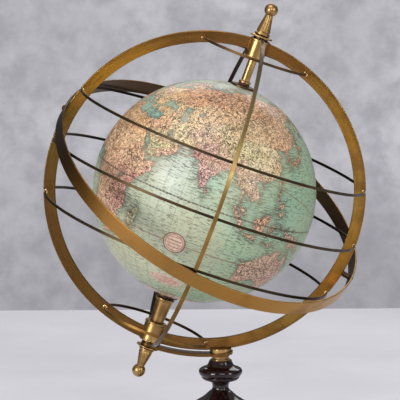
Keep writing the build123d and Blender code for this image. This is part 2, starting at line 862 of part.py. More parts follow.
with BuildPart() as tie_rod_nut:
    with BuildSketch(Plane.XY.offset(nut_bottom)):
        RegularPolygon(radius=nut_across_flats / 2, side_count=6, major_radius=False)
        Circle(rod_bore, mode=Mode.SUBTRACT)
    extrude(amount=nut_thickness)
save(tie_rod_nut, "tie_rod_nut")

with BuildPart() as base_felt:
    with BuildSketch(Plane.XY):
        Circle(felt_radius)
    extrude(amount=felt_thickness - glue_gap)
save(base_felt, "base_felt")
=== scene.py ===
import bpy
import math
from functools import partial
import numpy as np
from mathutils import Matrix, Vector


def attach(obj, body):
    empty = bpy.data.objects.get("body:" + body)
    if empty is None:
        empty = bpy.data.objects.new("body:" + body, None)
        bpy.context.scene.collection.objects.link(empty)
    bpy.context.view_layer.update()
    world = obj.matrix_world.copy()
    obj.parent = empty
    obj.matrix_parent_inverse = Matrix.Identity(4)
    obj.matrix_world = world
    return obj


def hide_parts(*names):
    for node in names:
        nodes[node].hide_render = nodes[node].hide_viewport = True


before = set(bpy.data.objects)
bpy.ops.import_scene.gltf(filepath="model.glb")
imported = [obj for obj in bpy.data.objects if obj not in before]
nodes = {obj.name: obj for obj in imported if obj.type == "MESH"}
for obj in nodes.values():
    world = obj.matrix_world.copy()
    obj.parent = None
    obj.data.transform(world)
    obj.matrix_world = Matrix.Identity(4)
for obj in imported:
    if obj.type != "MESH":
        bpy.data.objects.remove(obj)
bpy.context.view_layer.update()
mm = 0.001

cage = {
    "middle": Vector((-13, 0, 290)) * mm,      # middle of the globe and of every ring
    "tilt": 20.0,                              # degrees the polar axis leans to +X
    "ringOuter": 130 * mm,
    "ringInner": 120.4 * mm,
    "ringThickness": 3 * mm,
    "bandTilt": 23.5,                          # degrees the wide slanting band leans away from the equator
    "bandTowards": -63.7,                      # degrees round the polar axis, the way it leans
    "colureTurn": 4.5,                         # degrees the upright strip is turned from square on
}
lean = math.radians(cage["tilt"])
northWay = Vector((math.sin(lean), 0, math.cos(lean)))
eastWay = Vector((math.cos(lean), 0, -math.sin(lean)))
backWay = Vector((0, 1, 0))
upright = Vector((0, 0, 1))


def srgb(code):
    # a hex colour turned from sRGB to linear, with alpha 1
    parts = [int(code[i:i + 2], 16) / 255 for i in (1, 3, 5)]
    return tuple(p / 12.92 if p <= 0.04045 else ((p + 0.055) / 1.055) ** 2.4 for p in parts) + (1.0,)


def wire(node, inputs):
    # gives a node its inputs by name or number: a socket is linked, a hex colour is made linear
    for name, value in inputs.items():
        if isinstance(value, bpy.types.NodeSocket):
            node.id_data.links.new(value, node.inputs[name])
        else:
            node.inputs[name].default_value = srgb(value) if isinstance(value, str) else value


# how these kinds of node are always set here
usual = {"Mix": {"data_type": "RGBA"}, "MapRange": {"interpolation_type": "SMOOTHSTEP"}}


def addNode(tree, kind, *values, inputs=None, stops=(), out=None, **settings):
    # Adds a shader node, such as "Mix" or "Math ADD", with its settings. The values fill its live inputs in
    # order and the dictionary fills others by name. It hands back the output asked for, or the first one.
    kind, _, operation = kind.partition(" ")
    made = tree.nodes.new("ShaderNode" + kind)
    if operation:
        made.operation = operation
    for name, value in {**usual.get(kind, {}), **settings}.items():
        setattr(made, name, value)
    for spot, (place, colour) in enumerate(stops):         # a colour ramp's stops
        steps = made.color_ramp.elements
        step = steps[spot] if spot < len(steps) else steps.new(place)
        step.position, step.color = place, srgb(colour)
    live = [number for number, socket in enumerate(made.inputs) if socket.enabled]
    wire(made, dict(zip(live, values)))
    wire(made, inputs or {})
    return made.outputs[out] if out else next((socket for socket in made.outputs if socket.enabled), made)


def newMaterial(name):
    # a material, the means to add nodes to it, and its surface shader
    made = bpy.data.materials.new(name)
    made.use_nodes = True
    return made, partial(addNode, made.node_tree), made.node_tree.nodes["Principled BSDF"]


def layered(add, colour, rows):
    # Tints laid over a colour one after another. Each row says what its tint follows, between which two
    # values, the tint's share from 0 to 1 at the first and at the second, and the tint.
    for follows, low, high, atLow, atHigh, tint in rows:
        colour = add("Mix", add("MapRange", follows, low, high, atLow, atHigh), colour, tint)
    return colour


def meshFrom(name, points, faces, uv=None):
    # a smooth mesh from an array of points and an array of faces that all have as many corners
    mesh = bpy.data.meshes.new(name)
    mesh.vertices.add(len(points))
    mesh.vertices.foreach_set("co", points.astype(np.float32).ravel())
    mesh.loops.add(faces.size)
    mesh.loops.foreach_set("vertex_index", faces.astype(np.int32).ravel())
    mesh.polygons.add(len(faces))
    mesh.polygons.foreach_set("loop_start", np.arange(len(faces), dtype=np.int32) * faces.shape[1])
    mesh.update(calc_edges=True)
    mesh.polygons.foreach_set("use_smooth", np.ones(len(faces), bool))
    if uv is not None:
        layer = mesh.uv_layers.new(name="mapPlace")
        layer.data.foreach_set("uv", uv.astype(np.float32).ravel())
    mesh.validate()
    made = bpy.data.objects.new(name, mesh)
    bpy.context.scene.collection.objects.link(made)
    return made


def closedGrid(name, points, uv=None):
    # quads on a grid of points (rows, columns, 3) that closes on itself both ways
    index = np.arange(points[..., 0].size).reshape(points.shape[:2])
    nextRow = np.roll(index, -1, axis=0)
    quads = np.stack([index, np.roll(index, -1, axis=1), np.roll(nextRow, -1, axis=1), nextRow], axis=-1)
    return meshFrom(name, points.reshape(-1, 3), quads.reshape(-1, 4), uv)


# The printed map: coasts, countries, seas and mountains as degrees east and north.
centralMeridian = 82.5       # degrees east that face the front
coasts = {
    "africa": """-6 36 -2 35 3 37 10 37.3 11 34 10.5 33.5 15 32.3 19 30.3 20 32.8 23 32.7 25 31.6 29 31 31
        31.5 32.5 31.2 32.6 29.9 34 27 35.5 24 37.2 21 37.4 18.7 39.5 15.5 41.2 14.6 43.2 12.5 43.3 11.4
        44.5 10.4 48 11.2 51.2 12 51 10.4 49.5 7 47.8 4.2 45.5 2.2 42.5 -0.8 41 -2 39.8 -4 38.9 -6.2 39.5
        -8.5 40.6 -10.8 40.6 -14.5 38.5 -17.2 34.9 -19.9 35.5 -22.5 35.4 -24.2 32.8 -25.8 32.9 -28 30.9
        -30.3 28.5 -32.9 25.7 -34 22.5 -34.1 20 -34.8 18.4 -34.2 18.2 -32 16.5 -28.6 15 -26.5 14.4 -22.5
        12.3 -18.5 11.8 -16 13.5 -12.5 13.2 -9 12.2 -6 11 -3.8 8.8 -0.8 9.5 1.5 9.7 4 8.5 4.6 6 4.3 4.4 6.3
        1.5 6.2 -2 4.8 -5 5.2 -7.7 4.4 -9.5 5.6 -11.5 6.9 -13.3 9 -15 11 -16.8 12.5 -17.3 14.7 -16.2 16.5
        -16.5 19.5 -17 21 -16 23.8 -14.5 26.2 -13 27.8 -10 29.6 -9.7 31.5 -7 33.5""",
    "eurasia": """-5.5 36 -2 36.8 -0.5 38.5 0 40 3 42 4.5 43.4 7.5 43.8 9 44.4 10.3 43 12.2 41.8 14.5 40.6
        16 39.5 15.8 38 17.2 39 16.9 40.5 18.4 40 16 41.8 13.8 43.5 12.4 45.3 13.8 45.5 15.5 43.9 18.5 42.3
        19.5 41.4 19.4 40.2 21 38.5 21.8 36.8 23 36.6 24 38 22.9 39.5 23 40.5 26 40.8 29 41.1 28 42 27.8
        43.3 29.5 45.2 31.5 46.6 33 46.1 33 45.2 34.5 44.5 36.5 45.2 35 46.3 38 47.1 39.2 47 37.5 45.4 39.5
        43.6 41.5 42 41.2 41.2 38.5 41 36 41.6 33 42 30 41.2 27.5 40.4 26.3 39.5 27 38 27.5 36.8 30.5 36.8
        32.5 36.1 34.5 36.8 36 36.2 35.8 34.5 34.8 32 34.3 31.3 32.4 31.2 32.4 30 33.2 28.6 34.2 27.8 34.9
        29.5 35 28 36.8 25.8 38.4 23.8 39.1 21.5 40.8 19.6 42.5 16.8 43 14.5 43.5 12.7 45 12.8 48.5 14 52.2
        15.7 55 17.2 57.8 19 58.8 20.5 59.8 22.5 58.5 23.6 56.8 24.5 56.4 26.2 55 25 52.5 24.1 51.6 25.8
        50.8 25.5 50 26.8 48.5 28.5 47.9 30 49.5 30.2 50.8 29 51.5 27.8 54 26.6 56.8 27.1 57.3 25.7 61.5
        25.1 66.5 25.2 67.5 23.8 69 22.2 70.8 20.8 72.5 21.5 72.8 19 73.5 16 74.6 13.5 75.8 11.3 77.5 8.1
        78.2 9 79.8 10.3 80.1 13 80.3 15.5 82.3 16.7 85 19.5 87 21.3 89 21.8 91.5 22.8 92.3 20.8 94 18.5
        94.4 16 95.5 15.8 97.2 16.8 98 14 98.7 11.5 98.3 8.3 100.3 6.2 101.3 3 103.5 1.3 103.4 4.5 102.2 6.3
        100.4 7.4 99.3 9.3 99.6 11.8 100.6 13.5 102.5 12 103.6 10.6 105 8.7 106.8 10.4 109.2 11.8 109 14
        107.5 16.6 105.7 18.9 106.7 20.6 108.3 21.6 109.8 21.4 110 20.4 111.5 21.6 114 22.4 116.8 23.2 119
        25.3 120.8 28 122 29.8 120.8 31.7 120 34 119.2 35 122.4 37 118.9 37.4 117.8 39 121.2 40.8 121.5 39
        124.2 39.9 124.8 38 126.6 37.2 126.4 34.5 129.3 35.3 129.4 37.2 127.5 39.4 129.7 41 131.8 43.2 135.3
        43.9 138.5 46.8 140.4 49.5 140.5 52.5 138.5 54 135.2 54.8 140 57.7 143 59.3 149 59.5 153.5 59.2 160
        61.8 163 61.5 157 59 156 57.5 155.6 54 156.7 51 158.5 53 160 54.8 162.2 56.2 163 58.2 166 60 170.5
        60 174.5 61.8 179 62.5 177.5 64.7 187 64.4 190 66.1 180 69 170.5 69.5 161 69.5 153 70.9 140 72.4
        129.5 71 127 73.3 118 73.2 113.8 75.5 104.3 77.7 98 76 87 75.1 80.5 73.6 74.5 72.8 69.5 72.9 66.8 71
        68.5 68.3 60 69.2 54 68.8 46 68 44 66.3 40 64.7 35 64.4 33 66.7 40.5 66.4 41 67.6 33 69.4 28 71 23
        70.2 17.5 68.9 13.5 66.5 10.5 63.8 5 62 5 59.3 7 58 10.6 59.4 12.5 56.3 14.2 55.4 16.3 56.8 17 58.7
        18.8 59.8 17.2 61 17.8 62.6 21.5 64.4 24 65.8 25.3 65 21.5 63 21.4 61 23 59.9 28 60.5 30 59.9 28
        59.5 23.5 59.2 24.3 57.4 22 57.6 21 56 20 54.7 18.5 54.7 14.3 54.1 11 54 10.8 56.3 10.5 57.6 8.2
        56.8 8.6 54.5 8 53.6 5 53.3 3.5 51.5 1.6 50.2 -1.5 49.6 -1.3 48.7 -4.7 48.4 -2.2 47.2 -1.2 45.5 -1.6
        43.4 -5 43.5 -9 43.2 -8.8 41 -9.4 38.8 -8.8 37 -6.5 37""",
    "madagascar": """49.3 -12 50.4 -15.8 49.5 -18 47.2 -25 45 -25.5 43.4 -22.5 44.4 -19.8 44.2 -16.5 46.5
        -15.6 48 -13.6""",
    "ceylon": "80 9.7 81.7 7.5 80.6 6 79.8 7.5",
    "sumatra": """95.4 5.6 97.6 5.2 100.4 2.4 103.5 -0.5 104.6 -2 106 -3.2 105.7 -5.8 104.5 -5.8 102.2 -3.8
        100.4 -1 98.7 1.6 96.3 3.6""",
    "java": "105.3 -6.8 106.8 -6 110.8 -6.4 112.7 -7 114.4 -7.8 114.4 -8.7 110.5 -8.1 106.5 -7.4",
    "timor": "118.9 -8.4 122.5 -8.3 125 -8.4 127.2 -8.5 124 -10.2 121 -9 119 -9.2",
    "borneo": """109 1.6 110.8 1.6 113 3.2 115.3 5.4 116.8 7 119.2 5.2 117.7 3.5 118.9 1 117.4 0.2 116.4
        -3.5 114.5 -4.1 111.7 -3.4 110.1 -1.6 109 0.3""",
    "celebes": """119.8 0.8 120.8 1.3 123.8 0.9 125.1 1.6 124.4 0.4 120.8 0.5 120.2 -0.8 123.3 -0.8 121.6
        -1.9 122.6 -4.2 121.5 -4.6 120.9 -2.7 120.4 -5.5 119.5 -5.3 119 -2.8""",
    "moluccas": "127.6 2 128.6 1.4 128 -0.6 127.4 0.4",
    "newGuinea": """131 -0.8 134 -0.8 135 -3.3 138 -1.7 141.5 -2.7 145.8 -4.9 147.8 -6.1 147 -6.8 150.6
        -10.4 147.3 -9.5 144.2 -7.7 142.5 -9.2 139 -8.1 138 -5.6 133 -4.1 132.6 -2.8""",
    "luzon": "120.6 18.4 122.2 18.4 121.6 16 124 13 123.5 12.8 120.8 13.8 120 16",
    "mindanao": "122.2 7.3 124 8.3 125.5 9.7 126.5 7.5 125.4 5.8 124 6.9",
    "visayas": "122 11.8 124 12.3 125.5 12.3 125 10.2 123 9.2 122 10.5",
    "formosa": "121.5 25.2 120.2 23.3 120.8 22",
    "hainan": "108.7 19.3 110.5 20.1 111 19.5 109.6 18.2",
    "honshu": """131 34.2 132.8 35.5 136 35.8 137 37.4 139.2 38.2 140 40 140.3 41.2 141.4 41.4 142 39.5 141
        37.8 140.8 35.7 139.8 35 138.2 34.6 136.8 34.4 135.8 33.5 135 34.6 132.5 34.1""",
    "kyushu": "130 33.5 131.7 33.5 131.3 31.3 130.2 31.2 129.7 32.8",
    "shikoku": "132.5 33.8 134.5 34.2 133.8 33.4 132.8 32.8",
    "hokkaido": "140 41.6 140.5 43.3 141.7 45.4 145.3 43.6 143.3 42 141 42.5",
    "sakhalin": "142 46.2 143.2 49.5 143.4 52 142.8 54.3 142 52 141.9 47",
    "australia": """113.8 -22.5 114.2 -26.3 115.7 -32 115.1 -34.3 118.2 -35 121.5 -33.8 124 -33 126.5 -32.2
        131 -31.5 134 -32.7 135.8 -34.8 137.6 -32.7 138.5 -35.6 140 -37.8 143.5 -38.8 146.3 -39 150 -37.4
        151.3 -33.5 153.1 -30.5 153.4 -27.5 152.8 -25 150.8 -23.3 149 -20.5 146.3 -18.9 145.4 -15 143.7
        -14.2 142.5 -10.8 141.6 -13 141 -17.5 139.3 -17.4 136 -15.5 136.8 -12.3 132.7 -11.5 131 -12.3 129.5
        -14.9 126.8 -14 124 -16.4 122.2 -18.1 119 -20 116.5 -20.8""",
    "tasmania": "144.7 -40.8 148.2 -40.9 148 -42.8 146.5 -43.5 145.3 -42.3",
    "newZealandNorth": "172.8 -34.5 175.5 -36.8 178.4 -37.7 177 -39.5 175.2 -41.6 173.8 -39.3 174.8 -37.5",
    "newZealandSouth": "172.7 -40.5 174.2 -41.7 171 -44.8 169 -46.6 166.5 -46 168.5 -44 171 -42.4",
    "britain": """-5.5 50.1 -3 50.7 1.3 51.2 1.7 52.7 -0.3 54.3 -2 56 -2 57.6 -3.5 58.6 -5 58.5 -6 56.8 -4.8
        54.8 -3 54.1 -4.5 53.2 -5.2 51.8 -3.2 51.4""",
    "ireland": "-6.2 53.5 -6.4 52.2 -10 51.6 -9.8 53.8 -8.4 55.2 -6 55.2",
    "iceland": "-24 65.5 -21 66.2 -16 66.4 -13.8 65 -18.5 63.4 -22.6 63.9",
    "greenland": """-45 60 -50.5 62.5 -53.5 67 -51 69.8 -55 71.5 -58.5 75.5 -68.5 76 -72.5 78.2 -65 80.8 -55
        82 -35 83.5 -22 82.2 -17.5 80 -20 76 -19 74 -24.5 72 -22.5 70.2 -32 68 -38 65.7 -42 62.5""",
    "svalbard": "11 79 18 80 26 80 18 77 14 77.3",
    "novayaZemlya": "52 71 55.5 73.5 60 76 68 76.8 58 73.5 56 70.8",
    "severnayaZemlya": "96 79 100 80.8 104 79.2 100 78.2",
    "northAmerica": """-168 65.7 -163 67 -166.5 68.3 -156.5 71.3 -141 69.7 -125 70.2 -115 68.5 -108 68 -97
        68.2 -94 71.8 -90 69 -85.5 69.7 -82 67.5 -88 64 -94 61.5 -94.7 58.8 -92.5 57 -87.5 56 -82.3 55.1 -82
        53 -79.3 51.5 -79 54.5 -76.6 56.2 -78.3 59 -77.5 62.5 -70 61.3 -69 58.8 -65 60.2 -62 57.5 -57.5 54.5
        -56 52.2 -60 50.2 -66.5 50.2 -65 49.2 -64.5 46.2 -61 45.5 -65.5 43.6 -67 44.8 -70.5 43.2 -70 41.8
        -74 40.6 -75.5 38 -76 35.3 -81 32 -81.3 29 -80.2 26 -81.8 26 -82.8 29 -84.2 30 -89 30.3 -90.5 29.2
        -94.5 29.5 -97.3 27.5 -97.6 23 -96 19.2 -94.2 18.2 -91.5 18.6 -90.4 21 -87 21.4 -88 18.2 -88.8 15.9
        -83.3 15 -83.7 11 -81.5 8.9 -79.5 9.5 -77.4 8.6 -78 7.4 -80 7.4 -83 8.3 -85.7 10 -87.5 12.9 -92 14.5
        -95 16 -99.5 16.7 -105.5 20.3 -106.5 23.5 -109.5 26.5 -112.5 29.8 -114.7 31.6 -111.5 26.5 -109.5 23
        -112.2 25.2 -114.2 28 -117 32.4 -120.6 34.6 -123.8 39 -124.2 43 -123.8 46.5 -124.6 48.3 -122.8 49.2
        -127.5 51 -130.5 54.5 -134 58.2 -139.5 59.7 -146 60.8 -151 59.3 -158.5 56.2 -164.5 54.6 -160 58.5
        -162 59 -165.5 61.8 -161 64.3 -166 64.5""",
    "newfoundland": "-59.3 47.8 -57 51.3 -55.5 50 -53 47.6 -55.8 46.9",
    "baffin": """-65 62.5 -71.5 63.5 -77 64.8 -73.5 66 -72.5 67.8 -80 70 -89 71.3 -89.5 73.5 -81 73.6 -72
        71.5 -62 66.7""",
    "victoriaIsland": "-116 69.3 -105 69 -104 71 -108 73 -118 72",
    "banksIsland": "-125 72 -121 74.3 -117 73.3",
    "ellesmere": "-90 77 -78 77 -64 82.5 -75 83 -92 81",
    "devon": "-92 75.5 -80 75.6 -82 74.6",
    "cuba": "-84.8 22 -80.5 23.1 -75 20.8 -74.3 20.2 -77.5 20",
    "hispaniola": "-74 18.5 -72 19.9 -68.4 18.7 -71.5 17.8",
    "southAmerica": """-77.8 8.4 -75.5 10.6 -72 12.2 -71.5 10.8 -68 11 -62 10.7 -58.5 7.5 -54 5.8 -51 4 -50
        0.5 -48 -0.8 -44.2 -2.7 -40 -2.9 -35.3 -5.3 -35 -9 -38.8 -13 -39.2 -17.8 -41 -22 -44.5 -23.2 -48.5
        -26 -48.8 -28.6 -52.2 -32.5 -54.5 -34.8 -58.3 -34.3 -57 -36.5 -58 -38.3 -62.3 -39 -65 -41 -64 -42.6
        -65.5 -45 -67.5 -46.3 -65.8 -47.8 -69 -50.8 -68.3 -53 -65.2 -54.8 -70 -55.2 -74 -52.5 -75.5 -48.5
        -73.5 -43 -73.6 -37.5 -71.5 -30.5 -70.4 -23 -70.3 -18.4 -76.2 -14 -79.5 -7.5 -81.2 -5.5 -80 -2.8
        -80.8 -1 -78.7 1.4 -77.3 4 -77.6 7""",
    "antarctica": """-180 -78.5 -160 -78.3 -148 -77 -130 -74.2 -103 -74 -75 -73 -67 -68.5 -57 -63.3 -61 -67
        -62 -74.5 -45 -78 -27 -76 -12 -71.5 10 -70.3 30 -69.3 39 -69.5 50 -66.8 57 -66.8 70 -69.5 82 -67.3
        100 -66 115 -66.7 135 -66.2 150 -68.7 168 -71.5 164 -77.5 180 -78.5 180 -90 -180 -90""",
}
lakes = {
    "caspian": """47.5 44.8 49 46.6 51.5 47 53 46.7 53 45.2 51 44.6 50.8 43 52.8 42.5 52.6 41.2 53.8 39.2
        53.8 37 51 36.8 49 37.6 49.4 40.3 47.8 42.8""",
    "aral": "58.5 45 60 46.5 61.5 46 61 44 59 43.7",
    "victoria": "31.8 -0.5 33 0.4 34.2 -0.2 33.5 -2 32 -2.5",
    "superior": "-92 46.8 -88 48.8 -84.5 46.6 -87.5 46.7",
    "michiganHuron": "-87.8 42 -86.5 45.8 -82.5 45.9 -82 43.3 -83.5 44.8 -85.5 45 -86.3 43",
    "erieOntario": "-83 41.5 -79 42.8 -76.3 44 -79.5 43.6 -80.5 42.8",
    "baikal": "104 51.5 108 53 110 55.6 109 55.4 106.5 53",
    "bear": "-124 66 -118 67 -121 65",
}

# where each tint is laid: degrees east, degrees north, colour
landTints = """
    30 60 E09C6C  45 56 D88E58  60 62 DA905C  78 62 DC945E  95 60 D88E56  112 62 DC9862  130 64 DDA06C
    150 64 E0A878  170 66 DFA880  68 48 E6B484  82 50 DCA874  90 46 D8B07C  103 46 E2B886  116 46 DDB07C
    128 48 E0A880  85 42 D8BC84  82 38 D6C48C  90 33 D2C68C  100 36 D4CC90  108 38 E0D09A  114 34 E0D2A0
    118 30 E2BC88  112 26 E0CE9A  104 26 DCCE98  121 42 E4AC80  127 37 DE9C84  138 36 D98C74  141 43 D98C74
    66 33 CFA084  70 31 C99A80  72 38 C8A47C  60 42 DCB478  54 33 E2CF90  60 30 DECB90  48 33 DDBE84
    44 33 E0A97C  36 38 E0B878  33 33 E8A87C  45 24 D8CC94  52 21 D6C890  46 17 A9BE84  54 18 E6B69C
    77 25 CC9092  74 19 C88890  79 16 CA8C92  77 10 C88690  81 23 CE9890  87 24 CF9890  84 28 CDA284
    80 7 CE8C8C  96 21 E2B49C  97 24 DEB898  101 17 EAC6A8  103 14 ECC8AC  107 16 E6B8A0  105 20 E4BCA0
    102 4 D69C84  102 -2 DDA082  98 2 D89A80  110 -7 DFA47E  114 0 E08E6C  116 5 DC9478  120 -2 D2A07C
    122 16 C8A47C  125 8 C9A07A  138 -4 DBA084  145 -7 D6A88C  121 24 D9A88A  110 19 D6B08A  20 52 E8B470
    10 51 E2A878  3 47 DFC080  -4 40 E4AE74  12 43 E4B878  22 43 E0B070  26 50 E6A86C  15 62 DFA67C
    25 64 E0AC84  -2 53 D98F80  -8 53 D6A884  -19 65 DAB08C  -42 72 E3C9AC  -35 64 DFC4A6  30 27 E8AE74
    20 27 E6B078  10 28 E4AA70  2 28 E8A86A  -6 32 E4B480  -8 20 E2B284  0 15 DFA87C  8 13 E4B080
    18 15 E8B48A  28 15 E3AC80  34 10 E4AC88  39 9 E2A682  45 6 E0A48C  48 9 DE9C88  38 1 D68C82
    35 -5 CF8A82  30 -2 D69884  24 2 E0A888  18 5 DEA47E  12 5 DCAA84  -2 9 E0A67E  -10 9 DDB084
    20 -8 E2A884  26 -5 DE9E80  33 -13 D28A80  36 -16 D8907E  27 -15 DA9C84  18 -14 E4B08C  22 -22 DFA888
    28 -20 D89684  30 -27 D48E84  22 -31 DC9A84  46 -20 A4B482  48 -15 A9B886  120 -24 E8B49C
    118 -31 E2A692  127 -20 EAB8A0  134 -18 E4A894  133 -27 E6B29A  143 -22 EAB8A0  146 -30 D99484
    142 -36 DB9C86  147 -42 D68E80  171 -43 D89084  176 -39 D89084  -150 64 DDB48C  -130 62 E0B080
    -115 60 DDA884  -100 58 E2B488  -75 56 DFA888  -95 64 DDB08C  -75 68 DEBA98  -110 72 DCB898
    -80 79 DFC0A0  -115 48 E4B884  -100 45 DFA478  -85 43 E4B078  -72 45 E0A47C  -118 38 E2AC74
    -105 36 DDB880  -95 34 E4B47E  -82 34 DFA880  -100 24 D6BE86  -92 16 DCA888  -84 13 D8B084
    -79 22 D9A084  -70 19 D6AC84  -66 7 E0B484  -74 4 DFA078  -60 5 D9B88A  -54 4 DCA080  -60 -4 DCC48C
    -50 -8 D8C088  -42 -10 DABE88  -46 -18 D6BC84  -52 -27 DABD88  -56 -33 DFA07C  -58 -24 D8A47E
    -64 -17 E2B486  -75 -9 DFA47C  -78 -2 E0B88C  -66 -30 E4B08C  -68 -40 E0A888  -71 -33 D68E7C
    -72 -50 D99886  0 -80 DEC2AC  90 -75 D9B8A4  180 -80 DEC2AC  -90 -80 DBBCA6
"""
seaTints = """
    62 14 BCCBC0  66 4 BFCEBC  55 2 B6C2A8  75 -8 B6C4A6  90 5 AEC4A6  88 12 A0C8B0  60 -18 B4C0A2
    90 -22 B2C2A2  74 -30 B4C2A6  45 -30 B2BE9E  20 -45 AFC0A4  60 -45 B8BFA0  90 -48 B8BE9E  115 -42 9CBE98
    110 -15 96C29C  112 12 84BC9E  125 20 7CBA9A  135 12 84BE9C  150 20 86BC9C  160 0 88BC98  145 35 8CBA9C
    165 -25 8CBC98  170 -50 9CBC98  120 5 82BC9C  30 34 6FB0A4  15 38 84B4A2  34 43 7BA898  51 42 88A8A0
    20 57 94B29C  0 60 9CBAA0  -20 45 A0C0A4  -30 20 A4C4A4  -20 -10 A2C2A0  -25 -40 A6C0A0  0 78 A4B6A4
    90 78 A2B2A2  180 76 A2B4A4  -90 78 A4B6A4  -60 35 9CC0A2  -45 0 A2C2A0  -90 22 90BC9C  -110 -20 A0C2A0
    -140 30 9CC0A2  -150 -10 A0C4A2  -160 -45 A2BEA0  -110 -50 A4BEA0  80 -62 9CB894  0 -62 A4BA9C
    160 -64 9CBA98  -90 -64 A2B89C  106 -60 86B48C  150 55 90B49C  -150 50 9ABC9E
"""
# chains that carry dense hachures: degrees east, degrees north, spread in degrees
chains = """
    75 36 6  80 32 5  86 29 5  93 29 5  88 36 8  98 30 6  100 38 6  80 43 6  88 49 6  98 51 6  112 55 8
    125 58 9  60 58 5  59 64 5  44 42 4  50 35 6  56 31 5  66 34 6  70 38 4  36 38 5  10 46 4  22 44 4
    0 43 3  8 61 5  14 65 5  135 64 8  150 63 8  160 56 4  137 37 4  104 22 6  97 20 4  103 14 4  76 12 4
    74 18 4  101 0 4  115 1 4  140 -5 6  122 12 5  -5 32 5  5 35 4  12 20 8  38 9 6  36 0 5  30 -5 6
    35 -12 5  30 -29 5  20 -30 6  15 10 8  47 -19 4  150 -34 5  146 -22 6  128 -25 9  120 -23 6  44 17 5
    38 25 5  46 27 8  -70 -33 5  -70 -20 6  -76 -8 5  -76 3 5  -72 -45 5  -110 42 8  -118 52 7  -130 60 8
    -150 63 8  -80 38 6  -104 25 6  -92 15 4  -45 -18 7  -62 5 6  -70 68 8  70 55 7  90 62 9  118 8 9
    128 2 9  108 6 7  126 24 8  124 32 7  112 -6 7
"""


def unitVectors(east, north):
    # directions in the map's own frame for degrees east and north: x at 90 E, y at 180, z at the pole
    lon, lat = np.radians(east), np.radians(north)
    return np.stack([np.cos(lat) * np.sin(lon), -np.cos(lat) * np.cos(lon), np.sin(lat)], axis=-1)


def outlineDistance(outline, east, north, places):
    # Degrees from each place to an outline, positive inside it: the nearest of its straight edges,
    # signed by whether a line drawn east from the place crosses an odd number of edges.
    corners = np.array(outline.split(), float).reshape(-1, 2)
    nearest = np.full(len(east), 9.0)            # in radii, past anything on the globe
    inside = np.zeros(len(east), bool)
    for (e1, n1), (e2, n2) in zip(corners, np.roll(corners, -1, axis=0)):
        if n1 != n2:
            straddles = (n1 > north) != (n2 > north)
            crossing = (e2 - e1) * (north - n1) / (n2 - n1) + e1
            inside ^= straddles & (east < crossing)
            if corners[:, 0].max() > 180:
                inside ^= straddles & (east + 360 < crossing)
        if max(abs(e1 + e2), abs(n1 + n2) * 2) < 359:        # leaves out the map's own frame
            a, b = unitVectors(np.array([e1, e2]), np.array([n1, n2]))
            along = np.clip((places - a) @ (b - a) / ((b - a) @ (b - a)), 0, 1)
            nearest = np.minimum(nearest, np.linalg.norm(places - a - along[:, None] * (b - a), axis=1))
    return np.where(inside, 1, -1) * np.degrees(nearest)


def apartFrom(text, places):
    # degrees from every place to every row's own place, and what the rows say there
    words = text.split()
    rows = unitVectors(np.array(words[0::3], float), np.array(words[1::3], float))
    return np.degrees(np.linalg.norm(places[:, None] - rows[None], axis=-1)), words[2::3]


mapShape = {
    "wander": 0.022,            # how far borders stray from the line halfway between two tints, in radii
    "waves": ((17, 9, 5), (-7, 15, 11), (5, -13, 19)),     # ripples to a radius, along x, y and z
    "seaBlend": (2, 4),         # degrees added to a distance, and the power by which a sea tint dies away
}


def mapValues(east, north):
    # What is printed at each place: degrees from the coast, how much nearer the first tint is than the
    # second, the nearest land tint, sea tints weighed by one over a power of their distance, and mountains
    # that fall off as a bell curve.
    places = unitVectors(east, north)
    coast = np.full(len(east), -20.0)
    for outline in coasts.values():
        coast = np.maximum(coast, outlineDistance(outline, east, north, places))
    for outline in lakes.values():
        coast = np.minimum(coast, -outlineDistance(outline, east, north, places))

    waves = np.stack([np.sin(places @ np.array(wave)) for wave in mapShape["waves"]], axis=-1)
    apart, codes = apartFrom(landTints, places + mapShape["wander"] * waves)
    order = np.argsort(apart, axis=1)[:, :2]
    two = np.take_along_axis(apart, order, axis=1)
    landTint = np.array([srgb("#" + code) for code in codes])[order[:, 0]]

    apart, codes = apartFrom(seaTints, places)
    offset, power = mapShape["seaBlend"]
    weights = 1 / (apart + offset) ** power
    seaTint = (weights / weights.sum(axis=1, keepdims=True)) @ np.array([srgb("#" + code) for code in codes])

    apart, spreads = apartFrom(chains, places)
    relief = np.exp(-(apart / np.array(spreads, float)) ** 2).max(axis=1)
    border = two[:, 1] - two[:, 0]
    return {"coast": coast, "border": border, "landTint": landTint, "seaTint": seaTint, "relief": relief}


globe = {
    "radius": 90 * mm,
    "wall": 2 * mm,
    "poleHole": 4.03 * mm,      # radius of the hole for the bush
    "columns": 480,
    "rows": 118,
    "innerRows": 10,
}


